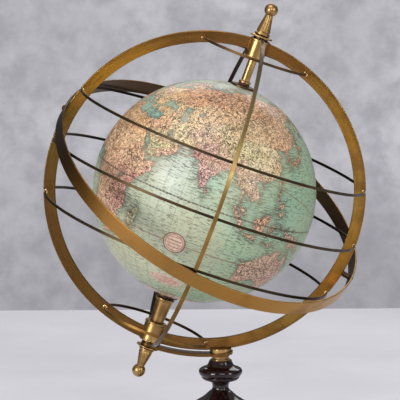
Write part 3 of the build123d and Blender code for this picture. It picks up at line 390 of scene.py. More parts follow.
def globeHalf(name, side, replaced):
    # Half a hollow globe: radius times the direction at each degree east and north, carried from the
    # equator to the hole at the pole on the outside and back on the inside.
    columns, rows, innerRows = globe["columns"], globe["rows"], globe["innerRows"]
    inner = globe["radius"] - globe["wall"]
    outerNorth = np.linspace(0, math.degrees(math.acos(globe["poleHole"] / globe["radius"])), rows)
    innerNorth = np.linspace(math.degrees(math.acos(globe["poleHole"] / inner)), 0, innerRows)
    north = side * np.concatenate([outerNorth, innerNorth])
    radius = np.repeat([globe["radius"], inner], [rows, innerRows])
    if side < 0:
        north, radius = north[::-1], radius[::-1]      # keeps the faces pointing outwards
    east = -180 + 360 * np.arange(columns) / columns
    eastGrid, northGrid = (grid.ravel() for grid in np.meshgrid(east, north))
    turned = unitVectors(eastGrid - centralMeridian, northGrid) @ np.array([eastWay, backWay, northWay])
    points = turned * np.repeat(radius, columns)[:, None] + np.array(cage["middle"])

    u, v = np.arange(columns + 1) / columns, north / 180 + 0.5
    corners = ((u[:-1], v), (u[1:], v), (u[1:], np.roll(v, -1)), (u[:-1], np.roll(v, -1)))
    uv = np.stack([np.stack(np.meshgrid(*corner), axis=-1) for corner in corners], axis=2)
    made = closedGrid(name, points.reshape(len(north), columns, 3), uv)

    for label, data in mapValues(eastGrid, northGrid).items():
        kind, field = ("FLOAT", "value") if data.ndim == 1 else ("FLOAT_COLOR", "color")
        layer = made.data.attributes.new(label, kind, "POINT").data
        layer.foreach_set(field, data.astype(np.float32).ravel())
    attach(made, "globe")
    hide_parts(replaced)
    return made


globeHalves = globeHalf("map_north", 1, "globe_north_shell"), globeHalf("map_south", -1, "globe_south_shell")
print("globe halves made")

mapPrint = {
    "ink": "#452C1E",
    "seaInk": "#4C3E2E",
    "redLine": "#8A4A34",
    "strokeSpacing": 4.3 * mm,    # between hachures, drawn coarser than the real 0.3 mm so that they show
    "strokeEdge": (0.31, 0.42),   # lower makes more and thicker strokes
    "grainSize": 2.6 * mm,        # breaks strokes up, coarser than real paper's so that it shows
    "crowdSize": 9 * mm,          # patches where strokes crowd together
    "washSize": 7 * mm,
    "baySize": 4.4 * mm,
    "bayReach": 6.0,              # degrees a coast strays
    "wordLength": 5.4 * mm,
    "wordHeight": 1.15 * mm,
    "wordPatch": 13 * mm,
    "wordStrength": (0.5, 0.74),  # on land and at sea
    "shoreRule": 0.45,            # half the degrees between the lines ruled along a shore
    "degreeLength": 1.57 * mm,    # a degree of arc on the globe's surface
    "graticule": 10.0,            # degrees between lines
    "lineWidth": 0.36,            # degrees
    "tropic": 23.44,              # degrees north and south, and the reach of the sun's yearly path
    "circle": 66.56,
    "gore": 30.0,                 # degrees across one of the twelve gores
    "stainSize": 45 * mm,
    "fleckSize": 2.4 * mm,
    "wrinkleSize": 6 * mm,
    # bare panels: middle and reach in degrees east and north, tint, and where each rim is with its strength
    "panels": (
        ((74.5, -23.3), (5.7, 5.7), "#F0D6BC", ((0.98, 0.9), (0.80, 0.5))),
        ((75.0, -50.5), (9.0, 4.5), "#C9B29E", ()),
    ),
}


def printedMap():
    # Litho-printed paper gores under satin varnish: soft even colour, fine brown line work, a dull gloss.
    material, add, surface = newMaterial("printed map paper, varnished")
    ink, seaInk = mapPrint["ink"], mapPrint["seaInk"]
    place = add("TexCoord", out="Object")
    parts = add("SeparateXYZ", add("UVMap", uv_map="mapPlace")).node.outputs
    east = add("Math MULTIPLY_ADD", parts[0], 360.0, -180.0)
    north = add("Math MULTIPLY_ADD", parts[1], 180.0, -90.0)
    shrink = add("Math COSINE", add("Math RADIANS", north))     # of a degree east
    smooth, border, relief = (
        add("Attribute", attribute_name=name, out="Fac") for name in ("coast", "border", "relief")
    )

    # ragged coasts: the smooth distance is shifted by bays and headlands of several sizes
    bays = add("TexNoise", place, 1 / mapPrint["baySize"], 5.0, 0.68)
    bays = add("Math SUBTRACT", bays, 0.5)
    coast = add("Math MULTIPLY_ADD", bays, mapPrint["bayReach"], smooth)
    land = add("MapRange", coast, -0.12, 0.12)

    # hachures: contour lines of a rough noise, so they curl and break up like drawn mountains
    worms = add("TexNoise", place, 1 / mapPrint["strokeSpacing"], 1.5, 0.5, inputs={"Distortion": 2.2})
    contour = add("Math PINGPONG", add("Math MULTIPLY", worms, 4.4), 0.5)
    grain = add("TexNoise", place, 1 / mapPrint["grainSize"], 2.0, 0.6)
    drawn = add("Math ADD", contour, add("Math MULTIPLY_ADD", grain, 0.7, -0.35))
    clusters = add("TexNoise", place, 1 / mapPrint["crowdSize"], 2.0)
    crowded = add("MapRange", clusters, 0.35, 0.65, 0.02, 0.08)
    crowded = add("Math MULTIPLY_ADD", relief, 0.08, crowded)
    drawnCrowded = add("Math ADD", drawn, crowded)

    # words are only rows of short strokes laid along the parallels
    across = add("Math MULTIPLY", east, shrink)
    across = add("Math MULTIPLY", across, mapPrint["degreeLength"] / mapPrint["wordLength"])
    up = add("Math MULTIPLY", north, mapPrint["degreeLength"] / mapPrint["wordHeight"])
    strokes = add("TexNoise", add("CombineXYZ", across, up), 1.0, 2.0, 0.7)
    patches = add("TexNoise", place, 1 / mapPrint["wordPatch"], 1.0)
    inkOnLand, inkAtSea = mapPrint["wordStrength"]
    onLand = add("MapRange", patches, 0.36, 0.56, 0.0, inkOnLand)
    atSea = add("MapRange", patches, 0.34, 0.54, 0.35 * inkAtSea, inkAtSea)
    nearShore = add("MapRange", coast, -5.5, -0.3, 0.0, 0.085)
    nearShore = add("Math MULTIPLY_ADD", relief, 0.035, nearShore)
    seaStrokes = add("Math ADD", strokes, nearShore)

    wash = add("TexNoise", place, 1 / mapPrint["washSize"], 3.0)
    landColour = layered(add, add("Attribute", attribute_name="landTint"), (
        (wash, 0.32, 0.68, 0.0, 0.34, "#EACBA0"),
        (drawn, 0.0, 0.24, 0.50, 0.0, "#F0DDBA"),           # paler between the strokes
        (drawnCrowded, *mapPrint["strokeEdge"], 0.0, 0.95, ink),
        (strokes, 0.54, 0.62, 0.0, onLand, ink),
        (border, 0.0, 0.7, 0.45, 0.0, "#94503E"),
    ))
    ruled = add("Math PINGPONG", north, mapPrint["shoreRule"])
    closeIn = add("MapRange", coast, -3.8, -0.3, 0.0, 0.38)
    aged = add("Mix", 0.30, add("Attribute", attribute_name="seaTint"), "#BDB89C")
    seaColour = layered(add, aged, (
        (coast, -4.0, -0.2, 0.0, 0.26, "#6FA08A"),          # greener along the shores
        (ruled, 0.18, 0.40, 0.0, closeIn, seaInk),
        (seaStrokes, 0.555, 0.600, 0.0, atSea, seaInk),
        (grain, 0.50, 0.72, 0.0, 0.38, "#6E7A60"),          # faint currents
    ))

    # the graticule, the tropics' and circles' lines, the sun's yearly path and the equator's scale
    halfStep = mapPrint["graticule"] / 2
    turned = add("Math ADD", east, 360.0)
    eastLine = add("Math MULTIPLY", add("Math PINGPONG", turned, halfStep), shrink)
    northLine = add("Math PINGPONG", add("Math ADD", north, 360.0), halfStep)
    fromGrid = add("Math MINIMUM", eastLine, northLine)
    latitude = add("Math ABSOLUTE", north)
    sunPath = add("Math SINE", add("Math RADIANS", east))
    sunPath = add("Math MULTIPLY", sunPath, mapPrint["tropic"])
    fromLine = 90.0                              # degrees from the nearest of the red lines
    for first, second in ((latitude, mapPrint["tropic"]), (latitude, mapPrint["circle"]), (north, sunPath)):
        away = add("Math ABSOLUTE", add("Math SUBTRACT", first, second))
        fromLine = add("Math MINIMUM", fromLine, away)
    checks = add("Math GREATER_THAN", add("Math PINGPONG", turned, 1.0), 0.5)
    checks = add("Math MULTIPLY_ADD", checks, 0.5, 0.25)
    colour = layered(add, add("Mix", land, seaColour, landColour), (
        (add("Math ABSOLUTE", coast), 0.05, 0.42, 0.62, 0.0, ink),
        (fromGrid, 0.0, mapPrint["lineWidth"], 0.42, 0.0, "#565E48"),
        (fromLine, 0.12, 0.55, 0.6, 0.0, mapPrint["redLine"]),
        (latitude, 0.25, 0.55, checks, 0.0, ink),
    ))

    # a bare round panel with a double rim, and a bare oblong one further south, both with ruled lines
    for (atEast, atNorth), (reachEast, reachNorth), tint, rims in mapPrint["panels"]:
        offEast = add("Math SUBTRACT", east, atEast)
        offEast = add("Math MULTIPLY", offEast, math.cos(math.radians(atNorth)) / reachEast)
        offNorth = add("Math SUBTRACT", north, atNorth)
        offNorth = add("Math DIVIDE", offNorth, reachNorth)
        off = add("VectorMath LENGTH", add("CombineXYZ", offEast, offNorth))
        rule = add("Math PINGPONG", add("Math ADD", offNorth, 4.0), 0.17)
        colour = layered(add, colour, (
            (off, 0.93, 1.0, 1.0, 0.0, layered(add, tint, ((grain, 0.42, 0.62, 0.0, 0.55, "#B4705E"),))),
            (rule, 0.08, 0.15, 0.0, add("MapRange", off, 0.62, 0.74, 0.7, 0.0), "#A04E42"),
        ))
        for rimAt, strength in rims:
            rim = add("Math ABSOLUTE", add("Math SUBTRACT", off, rimAt))
            colour = layered(add, colour, ((rim, 0.03, 0.09, strength, 0.0, "#743830"),))

    # edges of the gores, and the paper's age
    halfGore = mapPrint["gore"] / 2
    gore = add("Math PINGPONG", add("Math ADD", east, 360 + halfGore), halfGore)
    stain = add("TexNoise", place, 1 / mapPrint["stainSize"], 5.0, 0.6)
    fleck = add("TexNoise", place, 1 / mapPrint["fleckSize"], 1.0)
    colour = layered(add, colour, (
        (add("Math MULTIPLY", gore, shrink), 0.05, 0.35, 0.16, 0.0, "#6B5A42"),
        (stain, 0.42, 0.72, 0.0, 0.22, "#C8B48A"),
        (fleck, 0.70, 0.78, 0.0, 0.35, "#6A5238"),
    ))

    wrinkle = add("TexNoise", place, 1 / mapPrint["wrinkleSize"], 4.0)
    hachure = add("MapRange", drawnCrowded, *mapPrint["strokeEdge"])
    height = add("Math MULTIPLY_ADD", hachure, -0.15, wrinkle)
    wire(surface, {
        "Base Color": colour,
        "Roughness": add("Math MULTIPLY_ADD", stain, 0.16, 0.36),
        "Coat Weight": 0.20,
        "Coat Roughness": 0.24,
        "Normal": add("Bump", inputs={"Strength": 0.25, "Distance": 0.12 * mm, "Height": height}),
    })
    return material


paper = printedMap()
for half in globeHalves:
    half.data.materials.append(paper)
print("map printed")


def turnFrame(axis, seam):
    # angles that turn a ring's or a turned piece's own frame: z along its axis, and -x to the seam
    z = Vector(axis).normalized()
    x = (-Vector(seam) + z * z.dot(Vector(seam))).normalized()
    return Matrix((x, z.cross(x), z)).transposed().to_euler()


def roundPlaces(add, middle, turn):
    # angle round an axis, distance from it and height along it, from the piece's own coordinates
    place = add("TexCoord", out="Object")
    own = add("Mapping", place, middle, turn, vector_type="TEXTURE")
    x, y, height = add("SeparateXYZ", own).node.outputs
    radius = add("VectorMath LENGTH", add("CombineXYZ", x, y))
    return place, add("Math ARCTAN2", y, x), radius, height


def edgeFinder(add, reach, samples):
    # the normal rounded off over a short reach, and how well it agrees with the real one: less at an edge
    softened = add("Bevel", reach, samples=samples)
    flat = add("NewGeometry", out="Normal")
    return softened, flat, add("VectorMath DOT_PRODUCT", softened, flat)


def agedMetal(name, look, middle, turn, axis, tones=()):
    # Brass or steel under years of handling: a bright base colour that has browned in clouds, carries painted
    # shade and dirt in its corners and painted shade on faces turned towards the globe, is worn pale along
    # its edges, which also stands as a painted glint there, and is brushed round its own axis, which draws
    # its reflections out across the brushing.
    material, add, surface = newMaterial(name)
    place, angle, radius, height = roundPlaces(add, middle, turn)
    scratches = add("TexNoise", add(
        "CombineXYZ",
        add("Math MULTIPLY", angle, look["radius"] / look["scratchLength"]),
        add("Math DIVIDE", radius, look["scratchWidth"]),
        add("Math DIVIDE", height, look["scratchWidth"]),
    ), 1.0, 3.0, 0.6)
    clouds = add("TexNoise", place, 1 / look["cloudSize"], 4.0, 0.55)
    spots = add("TexNoise", place, 1 / look["spotSize"], 3.0, 0.7)
    fromMiddle = add("VectorMath SUBTRACT", place, middle)
    roundWay = add("VectorMath CROSS_PRODUCT", tuple(axis), fromMiddle)
    outWay = add("VectorMath CROSS_PRODUCT", roundWay, tuple(axis))
    outWay = add("VectorMath NORMALIZE", outWay)
    softened, flat, agreement = edgeFinder(add, look["edgeReach"], 6)
    facing = add("VectorMath DOT_PRODUCT", outWay, flat)
    openness = add("AmbientOcclusion", inputs={"Distance": look["cornerReach"]}, out="AO", samples=6)
    edge = add("MapRange", agreement, 0.90, 0.99, add("MapRange", clouds, 0.3, 0.6, 1.0, 0.45), 0.0)

    colour = look["bright"]
    if tones:                                  # painted highlights and shade that differ along a ring, from its seam right round
        share = add("Math MULTIPLY_ADD", angle, 0.5 / math.pi, 0.5)
        colour = add("ValToRGB", share, stops=tones)
    colour = layered(add, colour, (
        (clouds, *look["browned"], 0.0, look["brownShare"], look["brown"]),
        (spots, 0.58, 0.76, 0.0, look["spotting"], look["dark"]),
        (scratches, 0.30, 0.55, look["scratched"], 0.0, look["dark"]),
        (facing, -0.8, -0.3, look["innerShade"], 0.0, look["dark"]),       # painted shade on faces turned towards the globe
        (radius, *look["rim"], 0.0, look["rimDark"], look["brown"]),      # darker brown towards the outer rim
        # painted shade and dirt: darker where ambient occlusion finds corners and hollows
        (openness, 0.25, 0.85, look["cornerShadeAndDirt"], 0.0, look["dark"]),
    ))

    rough = add("MapRange", clouds, *look["browned"], look["roughness"], look["roughness"] + look["browning"])
    unevenness = add("Math SUBTRACT", scratches, 0.5)
    rough = add("Math MULTIPLY_ADD", unevenness, look["scratched"], rough)
    dents = add("Math MULTIPLY_ADD", spots, 0.5, scratches)
    wire(surface, {
        # pale edges: wear, and a painted glint along every edge
        "Base Color": add("Mix", add("Math MULTIPLY", edge, look["edgeWearAndGlint"]), colour, look["rubbed"]),
        "Roughness": add("Math MULTIPLY_ADD", edge, -0.10, rough, use_clamp=True),
        "Metallic": 1.0,
        "Normal": add("Bump", inputs={
            "Strength": look["bump"], "Distance": 0.04 * mm, "Height": dents, "Normal": softened,
        }),
    })
    if look["brushed"]:
        roundWay = add("VectorMath NORMALIZE", roundWay)
        wire(surface, {"Anisotropic": look["brushed"], "Tangent": roundWay})
    return material


bandTilt, bandTowards = math.radians(cage["bandTilt"]), math.radians(cage["bandTowards"])
bandLean = eastWay * math.cos(bandTowards) + backWay * math.sin(bandTowards)
eclipticPole = bandLean * math.sin(bandTilt) + northWay * math.cos(bandTilt)
colureTurned = math.radians(cage["colureTurn"])
colureNormal = eastWay * math.cos(colureTurned) + backWay * math.sin(colureTurned)
middle = tuple(cage["middle"])
# each piece's place, its own turned frame and its axis
ringFrame = middle, turnFrame(-backWay, -upright), backWay
bandFrame = middle, turnFrame(eclipticPole, backWay), eclipticPole
colureFrame = middle, turnFrame(colureNormal, -northWay), colureNormal
polarFrame = middle, turnFrame(northWay, backWay), northWay
standFrame = (0, 0, 0), turnFrame(upright, backWay), upright

# Sawn and filed bar, browned by hands: satin golden brown with cloudy tones, an edge worn pale that also
# stands as a painted glint, and painted shade in its corners. Its scratches are drawn far wider than the real
# 0.05 mm so that they show.
barLook = {
    "bright": "#A87C3C", "brown": "#5E4224", "dark": "#33261A", "rubbed": "#DDB878",
    "radius": 125 * mm, "scratchLength": 20 * mm, "scratchWidth": 0.9 * mm, "scratched": 0.17,
    "cloudSize": 17 * mm, "browned": (0.42, 0.66), "brownShare": 0.55, "browning": 0.10,
    "spotSize": 4 * mm, "spotting": 0.25, "cornerReach": 3 * mm, "cornerShadeAndDirt": 0.7,
    "edgeReach": 0.5 * mm, "edgeWearAndGlint": 0.34, "innerShade": 0.0, "rimDark": 0.42,
    "rim": (0.5 * (cage["ringInner"] + cage["ringOuter"]), cage["ringOuter"]),
    "roughness": 0.30, "bump": 0.10, "brushed": 0.5,
}
# the bar's painted highlights and shade, standing for its brushed reflections, from the bottom round by the
# right, the top and the left
barPaintedLight = (
    (0.0, "#805A30"), (0.05, "#9C7033"), (0.10, "#9C783A"), (0.15, "#B27E34"), (0.20, "#B08036"),
    (0.25, "#B28842"), (0.31, "#BC8838"), (0.36, "#B2843C"), (0.41, "#AA7438"), (0.47, "#9A6E3C"),
    (0.53, "#966A34"), (0.57, "#C68C34"), (0.61, "#CC9234"), (0.65, "#AE7E32"), (0.69, "#846A30"),
    (0.75, "#7A582E"), (0.84, "#6A4C24"), (0.90, "#72522A"), (1.0, "#805A30"),
)
# rolled band under old lacquer: smoother, larger clouds, with painted shade on its inner face
bandLook = {
    **barLook, "brown": "#7A5020", "dark": "#5A483A", "browned": (0.50, 0.78), "radius": 134 * mm,
    "scratchWidth": 0.7 * mm, "cloudSize": 30 * mm, "spotting": 0.15, "roughness": 0.32, "brushed": 0.0,
    "innerShade": 0.85, "rimDark": 0.0,
}
# the band's painted highlights and shade from the back round by the left, the front and the right
bandPaintedLight = (
    (0.0, "#8A6434"), (0.20, "#56421F"), (0.30, "#4A3A1E"), (0.345, "#5C4422"), (0.38, "#8C622C"),
    (0.42, "#AA7C40"), (0.50, "#9E753E"), (0.58, "#A87A3C"), (0.64, "#B08648"), (0.78, "#A88246"),
    (0.9, "#80603A"), (1.0, "#8A6434"),
)
# thin sheared strip: its colour painted nearly black as a painted dark reflection of the room, dull but for
# its edges, with painted shade on its inner face
stripLook = {
    **barLook, "bright": "#4C3E2C", "brown": "#2E251E", "dark": "#1A1512", "rubbed": "#A8875A",
    "spotSize": 3 * mm, "edgeReach": 0.3 * mm, "edgeWearAndGlint": 0.45, "roughness": 0.42, "brushed": 0.0,
    "innerShade": 0.85, "rimDark": 0.0,
}
# the same strip, scorched a dull brown, left paler, and worn pale at its edges, which stands as a painted
# glint there
polarLook = {**stripLook, "bright": "#5E482C", "brown": "#40301F", "roughness": 0.5}
southLook = {**stripLook, "bright": "#8A6634", "brown": "#64482A", "roughness": 0.45, "edgeWearAndGlint": 0.2}
colureLook = {**stripLook, "brown": "#5E4A30", "dark": "#33281C", "edgeWearAndGlint": 0.6, "roughness": 0.30}
# the upright strip's painted highlights and reflections from the south end up the back, over the north end
# and down the front
colurePaintedLight = (
    (0.0, "#64492A"), (0.25, "#4A3C2A"), (0.48, "#5A5046"), (0.56, "#6E6354"), (0.64, "#8C7852"),
    (0.70, "#B89C60"), (0.77, "#A07C42"), (0.86, "#86662F"), (0.93, "#64492A"), (1.0, "#64492A"),
)
# lathe-turned and buffed: glossy pale gold on the crests, which carry a painted glint along their edges,
# brown in the hollows, with painted shade there as well
turnedLook = {
    **barLook, "bright": "#BC9860", "brown": "#785A36", "dark": "#281C12", "rubbed": "#F0D098",
    "radius": 8 * mm, "scratchLength": 9 * mm, "scratchWidth": 1.4 * mm, "scratched": 0.04,
    "cloudSize": 18 * mm, "browned": (0.38, 0.66), "brownShare": 0.75, "browning": 0.06,
    "spotSize": 3 * mm, "spotting": 0.06, "cornerReach": 2.2 * mm, "cornerShadeAndDirt": 0.9, "edgeWearAndGlint": 0.7,
    "rimDark": 0.0, "bump": 0.004, "brushed": 0.0,
}
# turnings blackened with age, small bright wire pins, and cool grey drawn steel
flangeLook = {
    **turnedLook, "bright": "#5A4632", "brown": "#33271C", "rubbed": "#A07C4C", "edgeWearAndGlint": 0.5,
    "roughness": 0.34,
}
pinLook = {**turnedLook, "bright": "#E0BC80", "brown": "#B08A54", "rubbed": "#FFE8BC", "spotting": 0.10}
steelLook = {**turnedLook, "bright": "#A8A8A6", "brown": "#7C7770", "dark": "#3A3632", "rubbed": "#D8D8D4"}

flangeBrass = agedMetal("turned brass, blackened", flangeLook, *polarFrame)
standBrass = agedMetal("turned brass, stand", turnedLook, *standFrame)
finishes = {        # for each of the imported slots
    "ring_brass": agedMetal("antique brass bar, browned", barLook, *ringFrame, barPaintedLight),
    "strip_brass": agedMetal("thin brass strip, dark", stripLook, *polarFrame),
    "turned_brass": agedMetal("turned brass, polished and aged", turnedLook, *polarFrame),
    "dark_brass": flangeBrass,
    "pin_brass": agedMetal("brass pins, bright", pinLook, *polarFrame),
    "steel": agedMetal("mild steel, bright drawn", steelLook, *standFrame),
    "globe_paper": paper,
}
ownFinish = {       # for pieces whose wear and painted light differ from the rest of their slot
    "ecliptic_band": agedMetal("antique brass band, lacquered", bandLook, *bandFrame, bandPaintedLight),
    "colure_ring": agedMetal("thin brass strip, rubbed", colureLook, *colureFrame, colurePaintedLight),
    "arctic_ring": agedMetal("thin brass strip, soldered", polarLook, *polarFrame),
    "antarctic_ring": agedMetal("thin brass strip, southern", southLook, *polarFrame),
    "ecliptic_pins": flangeBrass,
    "stand_ferrule": standBrass,
    "ring_saddle": standBrass,
}
print("metals made")

woodLook = {
    "body": "#0E0606",
    "streak": "#2A1512",
    "worn": "#4A2C20",
    # pores to a metre: 2.4 mm apart across the grain and 28 mm along it, coarser than real so that they show
    "grain": (420.0, 420.0, 36.0),
    "wear": 30.0,                        # worn patches to a metre, 33 mm each
    "markSpacing": 0.5 * mm,             # turning marks
    "edgeReach": 0.7 * mm,
    "gloss": (0.08, 0.07),               # what wear adds to the roughness, and the roughness
}


def lacqueredWood():
    # Turned hardwood, ebonised and french polished: near black with a breath of red, a wet gloss,
    # faint turning marks under it.
    material, add, surface = newMaterial("ebonised wood, french polished")
    place, _, radius, height = roundPlaces(add, *standFrame[:2])
    grain = add("Mapping", place, inputs={"Scale": woodLook["grain"]})
    grain = add("TexNoise", grain, 1.0, 4.0, inputs={"Distortion": 0.4})
    worn = add("TexNoise", place, woodLook["wear"], 4.0)
    softened, _, agreement = edgeFinder(add, woodLook["edgeReach"], 4)
    marks = add("Math DIVIDE", add("Math ADD", height, radius), woodLook["markSpacing"])
    marks = add("TexNoise", marks, 1.0, 2.0, noise_dimensions="1D")
    wire(surface, {
        "Base Color": layered(add, woodLook["body"], (
            (grain, 0.35, 0.7, 0.0, 1.0, woodLook["streak"]),
            (agreement, 0.88, 0.99, add("Math MULTIPLY", worn, 0.35), 0.0, woodLook["worn"]),
        )),
        "Roughness": add("Math MULTIPLY_ADD", worn, *woodLook["gloss"]),
        "Normal": add("Bump", inputs={
            "Strength": 0.10, "Distance": 0.06 * mm, "Height": add("Math ADD", marks, grain),
            "Normal": softened,
        }),
    })
    return material


def fibrousSheet(name, light, dark, grainSize, rough, bumpHeight, sheen=0.0):
    # Felt, fibre or board: a dull fibrous sheet, mottled at the size of its fibres.
    material, add, surface = newMaterial(name)
    place = add("TexCoord", out="Object")
    fibres = add("TexNoise", place, 1 / grainSize, 5.0, 0.7, inputs={"Distortion": 0.6})
    patches = add("TexNoise", place, 0.12 / grainSize, 2.0)
    wire(surface, {
        "Base Color": layered(add, dark, (
            (fibres, 0.3, 0.7, 0.0, 1.0, light),
            (patches, 0.4, 0.75, 0.0, 0.3, dark),
        )),
        "Roughness": rough,
        "Sheen Weight": sheen,
        "Normal": add("Bump", inputs={"Strength": 0.6, "Distance": bumpHeight, "Height": fibres}),
    })
    return material


finishes.update({        # soft green nap, hard red-brown card, buff card
    "black_wood": lacqueredWood(),
    "felt": fibrousSheet("wool felt, dark green", "#2F4636", "#16241B", 0.6 * mm, 0.95, 0.25 * mm, 0.6),
    "fibre": fibrousSheet("vulcanised fibre, red-brown", "#6E3A2C", "#4A241C", 0.4 * mm, 0.6, 0.02 * mm),
    "board": fibrousSheet("grey board", "#9A8A74", "#6E6252", 0.8 * mm, 0.9, 0.05 * mm),
})
for name, node in nodes.items():
    slotName = node.material_slots[0].material.name.split(".")[0]
    node.material_slots[0].material = ownFinish.get(name, finishes[slotName])
print("finishes given to the packed pieces")

# drops of solder where the strips meet the great ring's two faces
solder = {
    "radius": 1.5 * mm,
    "height": 0.7 * mm,
    "sink": 0.12 * mm,
    "sizes": (0.8, 1.15),         # of the radius, smallest and largest
    "inset": (0.2, 1.0),          # mm in from the strip's end
    "stretch": 1.25,              # how much longer than wide, along the ring
    "ripples": (0.12, 0.06),      # two and three waves round the foot
    "crown": 0.18,                # angle from the top where the grid starts
    "rings": 6,
    "sides": 14,
    "seed": 7,
    # each strip's latitude, and how far out it is soldered, in mm
    "strips": ((69.5, 125.0), (20.0, 128.5), (0.0, 128.5), (-20.0, 128.5), (-69.5, 125.0)),
}


def solderDrops():
    # Flattened domes: a circle's radius times the sine and a height times the cosine of the angle from
    # the top, closed above and below on a middle point, with a slow ripple round the foot.
    rings, sides = solder["rings"], solder["sides"]
    rng = np.random.default_rng(solder["seed"])
    theta = np.linspace(solder["crown"], math.pi / 2, rings)[:, None]
    phi = np.arange(sides) * 2 * math.pi / sides
    index = np.arange(rings * sides).reshape(rings, sides)
    beside = np.roll(index, -1, axis=1)
    quads = np.stack([index[:-1], index[1:], beside[1:], beside[:-1]], axis=-1).reshape(-1, 4)
    top = np.full(sides, rings * sides)
    topCap = np.stack([top, index[0], beside[0]], axis=-1)
    footCap = np.stack([top + 1, beside[-1], index[-1]], axis=-1)
    two, three = solder["ripples"]
    points, faces = [], []
    for latitude, reach in solder["strips"]:
        lat = math.radians(latitude)
        for way, face in ((1, 1), (1, -1), (-1, 1), (-1, -1)):       # right or left, back or front
            outward = np.array(eastWay * (way * math.cos(lat)) + northWay * math.sin(lat))
            spot = middle + outward * (reach - rng.uniform(*solder["inset"])) * mm
            size = solder["radius"] * rng.uniform(*solder["sizes"])
            starts = rng.uniform(0, 6), rng.uniform(0, 6)
            ripple = 1 + two * np.sin(2 * phi + starts[0]) + three * np.sin(3 * phi + starts[1])
            out = size * np.sin(theta) * ripple
            tall = face * (cage["ringThickness"] / 2 + solder["height"] * np.cos(theta) - solder["sink"])
            dome = spot + (out * np.cos(phi))[..., None] * outward
            dome = dome + (solder["stretch"] * out * np.sin(phi))[..., None] * np.cross(outward, (0, 1, 0))
            dome = dome + tall[..., None] * np.array((0, 1, 0))
            for part in (quads, topCap, footCap):
                faces += (part[:, ::-face] + len(points)).tolist()        # turned round on the back face
            points += dome.reshape(-1, 3).tolist()
            crown, base = dome[0].mean(axis=0) + (0, face * 0.01 * mm, 0), dome[-1].mean(axis=0)
            points += [crown.tolist(), base.tolist()]
    mesh = bpy.data.meshes.new("solder_drops")
    mesh.from_pydata(points, [], faces)
    mesh.polygons.foreach_set("use_smooth", np.ones(len(faces), bool))
    mesh.materials.append(finishes["pin_brass"])
    made = bpy.data.objects.new("solder_drops", mesh)
    bpy.context.scene.collection.objects.link(made)
    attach(made, "stand_and_cage")


solderDrops()
print("solder drops made")

table = {
    "far": 1.07,                # metres from the stand to the far edge
    "near": 8.0,
    "wide": 7.0,
    "skew": 0.045,              # the far edge runs slightly askew
    "light": "#DCDBE0",
    "dark": "#D3D2D8",
}


def makeTable():
    # A plain pale table top: one rectangle with a faint soft tone.
    wide, near, far, skew = table["wide"], table["near"], table["far"], table["wide"] * table["skew"]
    points = np.array([(-wide, -near, 0), (wide, -near, 0), (wide, far + skew, 0), (-wide, far - skew, 0)])
    made = meshFrom("floor", points, np.array([[0, 1, 2, 3]]))
    material, add, surface = newMaterial("pale table top")
    tone = add("TexNoise", add("TexCoord", out="Object"), 6.0, 4.0)
    colour = layered(add, table["dark"], ((tone, 0.3, 0.7, 0.0, 1.0, table["light"]),))
    wire(surface, {"Base Color": colour, "Roughness": 0.85})
    made.data.materials.append(material)


makeTable()

wallLook = {
    "light": "#CAC9CF",
    "dark": "#A8A7AD",
    "cloud": "#A2A1A7",
    "foot": "#88878D",           # painted shade: the wall darker towards the table
    "blotches": 110.0,           # small ones across the sky's sphere
    "clouds": 20.0,
    "roomLow": "#6E6D72",        # what the metal mirrors: dim all round, lighter overhead
    "roomHigh": "#D8D7DC",
    "roomStrength": 0.62,
}
world = bpy.data.worlds.new("studio")
bpy.context.scene.world = world
world.use_nodes = True
world.node_tree.nodes.clear()
add = partial(addNode, world.node_tree)
direction = add("TexCoord", out="Generated")
lift = add("SeparateXYZ", direction, out="Z")
wall = layered(add, wallLook["dark"], (
    (add("TexNoise", direction, wallLook["blotches"], 6.0, 0.6), 0.28, 0.72, 0.0, 1.0, wallLook["light"]),
    (add("TexNoise", direction, wallLook["clouds"], 3.0), 0.35, 0.68, 0.0, 0.42, wallLook["cloud"]),
    # painted shade at the wall's foot
    (lift, -0.178, -0.105, 0.50, 0.0, wallLook["foot"]),
))
room = layered(add, wallLook["roomLow"], ((lift, 0.0, 0.9, 0.0, 1.0, wallLook["roomHigh"]),))
ambient = add("Background", room, wallLook["roomStrength"])
seen = add("LightPath", out="Is Camera Ray")
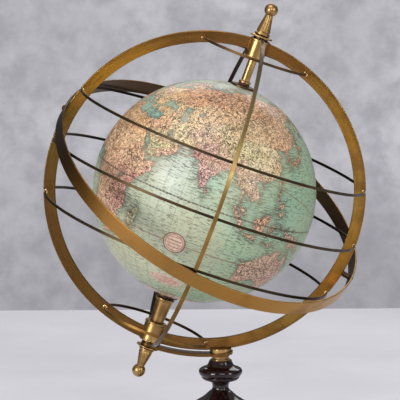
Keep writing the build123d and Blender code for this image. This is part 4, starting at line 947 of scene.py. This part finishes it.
add("OutputWorld", add("MixShader", seen, ambient, add("Background", wall, 1.0)))

softboxes = {       # place, width and height in metres, watts
    "key left": ((-1.55, -1.75, 0.80), (0.80, 0.9), 32),
    "fill right": ((1.9, -1.3, 1.0), (0.5, 1.1), 15),
    "top": ((-0.2, -0.4, 2.1), (1.4, 1.1), 15),
    "back": ((0.3, 1.6, 1.3), (1.6, 0.6), 8),
    "front high": ((0.5, -2.6, 1.5), (1.4, 0.6), 18),
}
for name, (place, size, watts) in softboxes.items():
    lamp = bpy.data.lights.new(name, "AREA")
    lamp.shape = "RECTANGLE"
    lamp.size, lamp.size_y = size
    lamp.energy = watts
    made = bpy.data.objects.new(name, lamp)
    made.location = place
    made.rotation_mode = "QUATERNION"
    made.rotation_quaternion = (cage["middle"] - Vector(place)).to_track_quat("-Z", "Y")
    bpy.context.scene.collection.objects.link(made)

eye = {
    "azimuth": 0.614,           # degrees
    "elevation": 7.805,
    "distance": 2.2343,         # metres from the globe's middle
    "lens": 249.35,
    "aside": (3.70 * mm, 7.08 * mm),     # how far left of and below the globe's middle it aims
}
azimuth, elevation = math.radians(eye["azimuth"]), math.radians(eye["elevation"])
rightWay = Vector((math.cos(azimuth), math.sin(azimuth), 0))
towards = Vector((math.sin(azimuth), -math.cos(azimuth), 0))
outward = towards * math.cos(elevation) + upright * math.sin(elevation)
aim = cage["middle"] - rightWay * eye["aside"][0] - outward.cross(rightWay) * eye["aside"][1]
camera = bpy.data.cameras.new("camera")
camera.lens = eye["lens"]
camera.sensor_width = 36
camera.clip_start, camera.clip_end = 0.05, 50
cameraObject = bpy.data.objects.new("camera", camera)
cameraObject.location = cage["middle"] + outward * eye["distance"]
cameraObject.rotation_mode = "QUATERNION"
cameraObject.rotation_quaternion = (aim - cameraObject.location).to_track_quat("-Z", "Y")
bpy.context.scene.collection.objects.link(cameraObject)
bpy.context.scene.camera = cameraObject
bpy.context.scene.view_settings.view_transform = "Standard"
print("studio made")

bpy.context.view_layer.update()
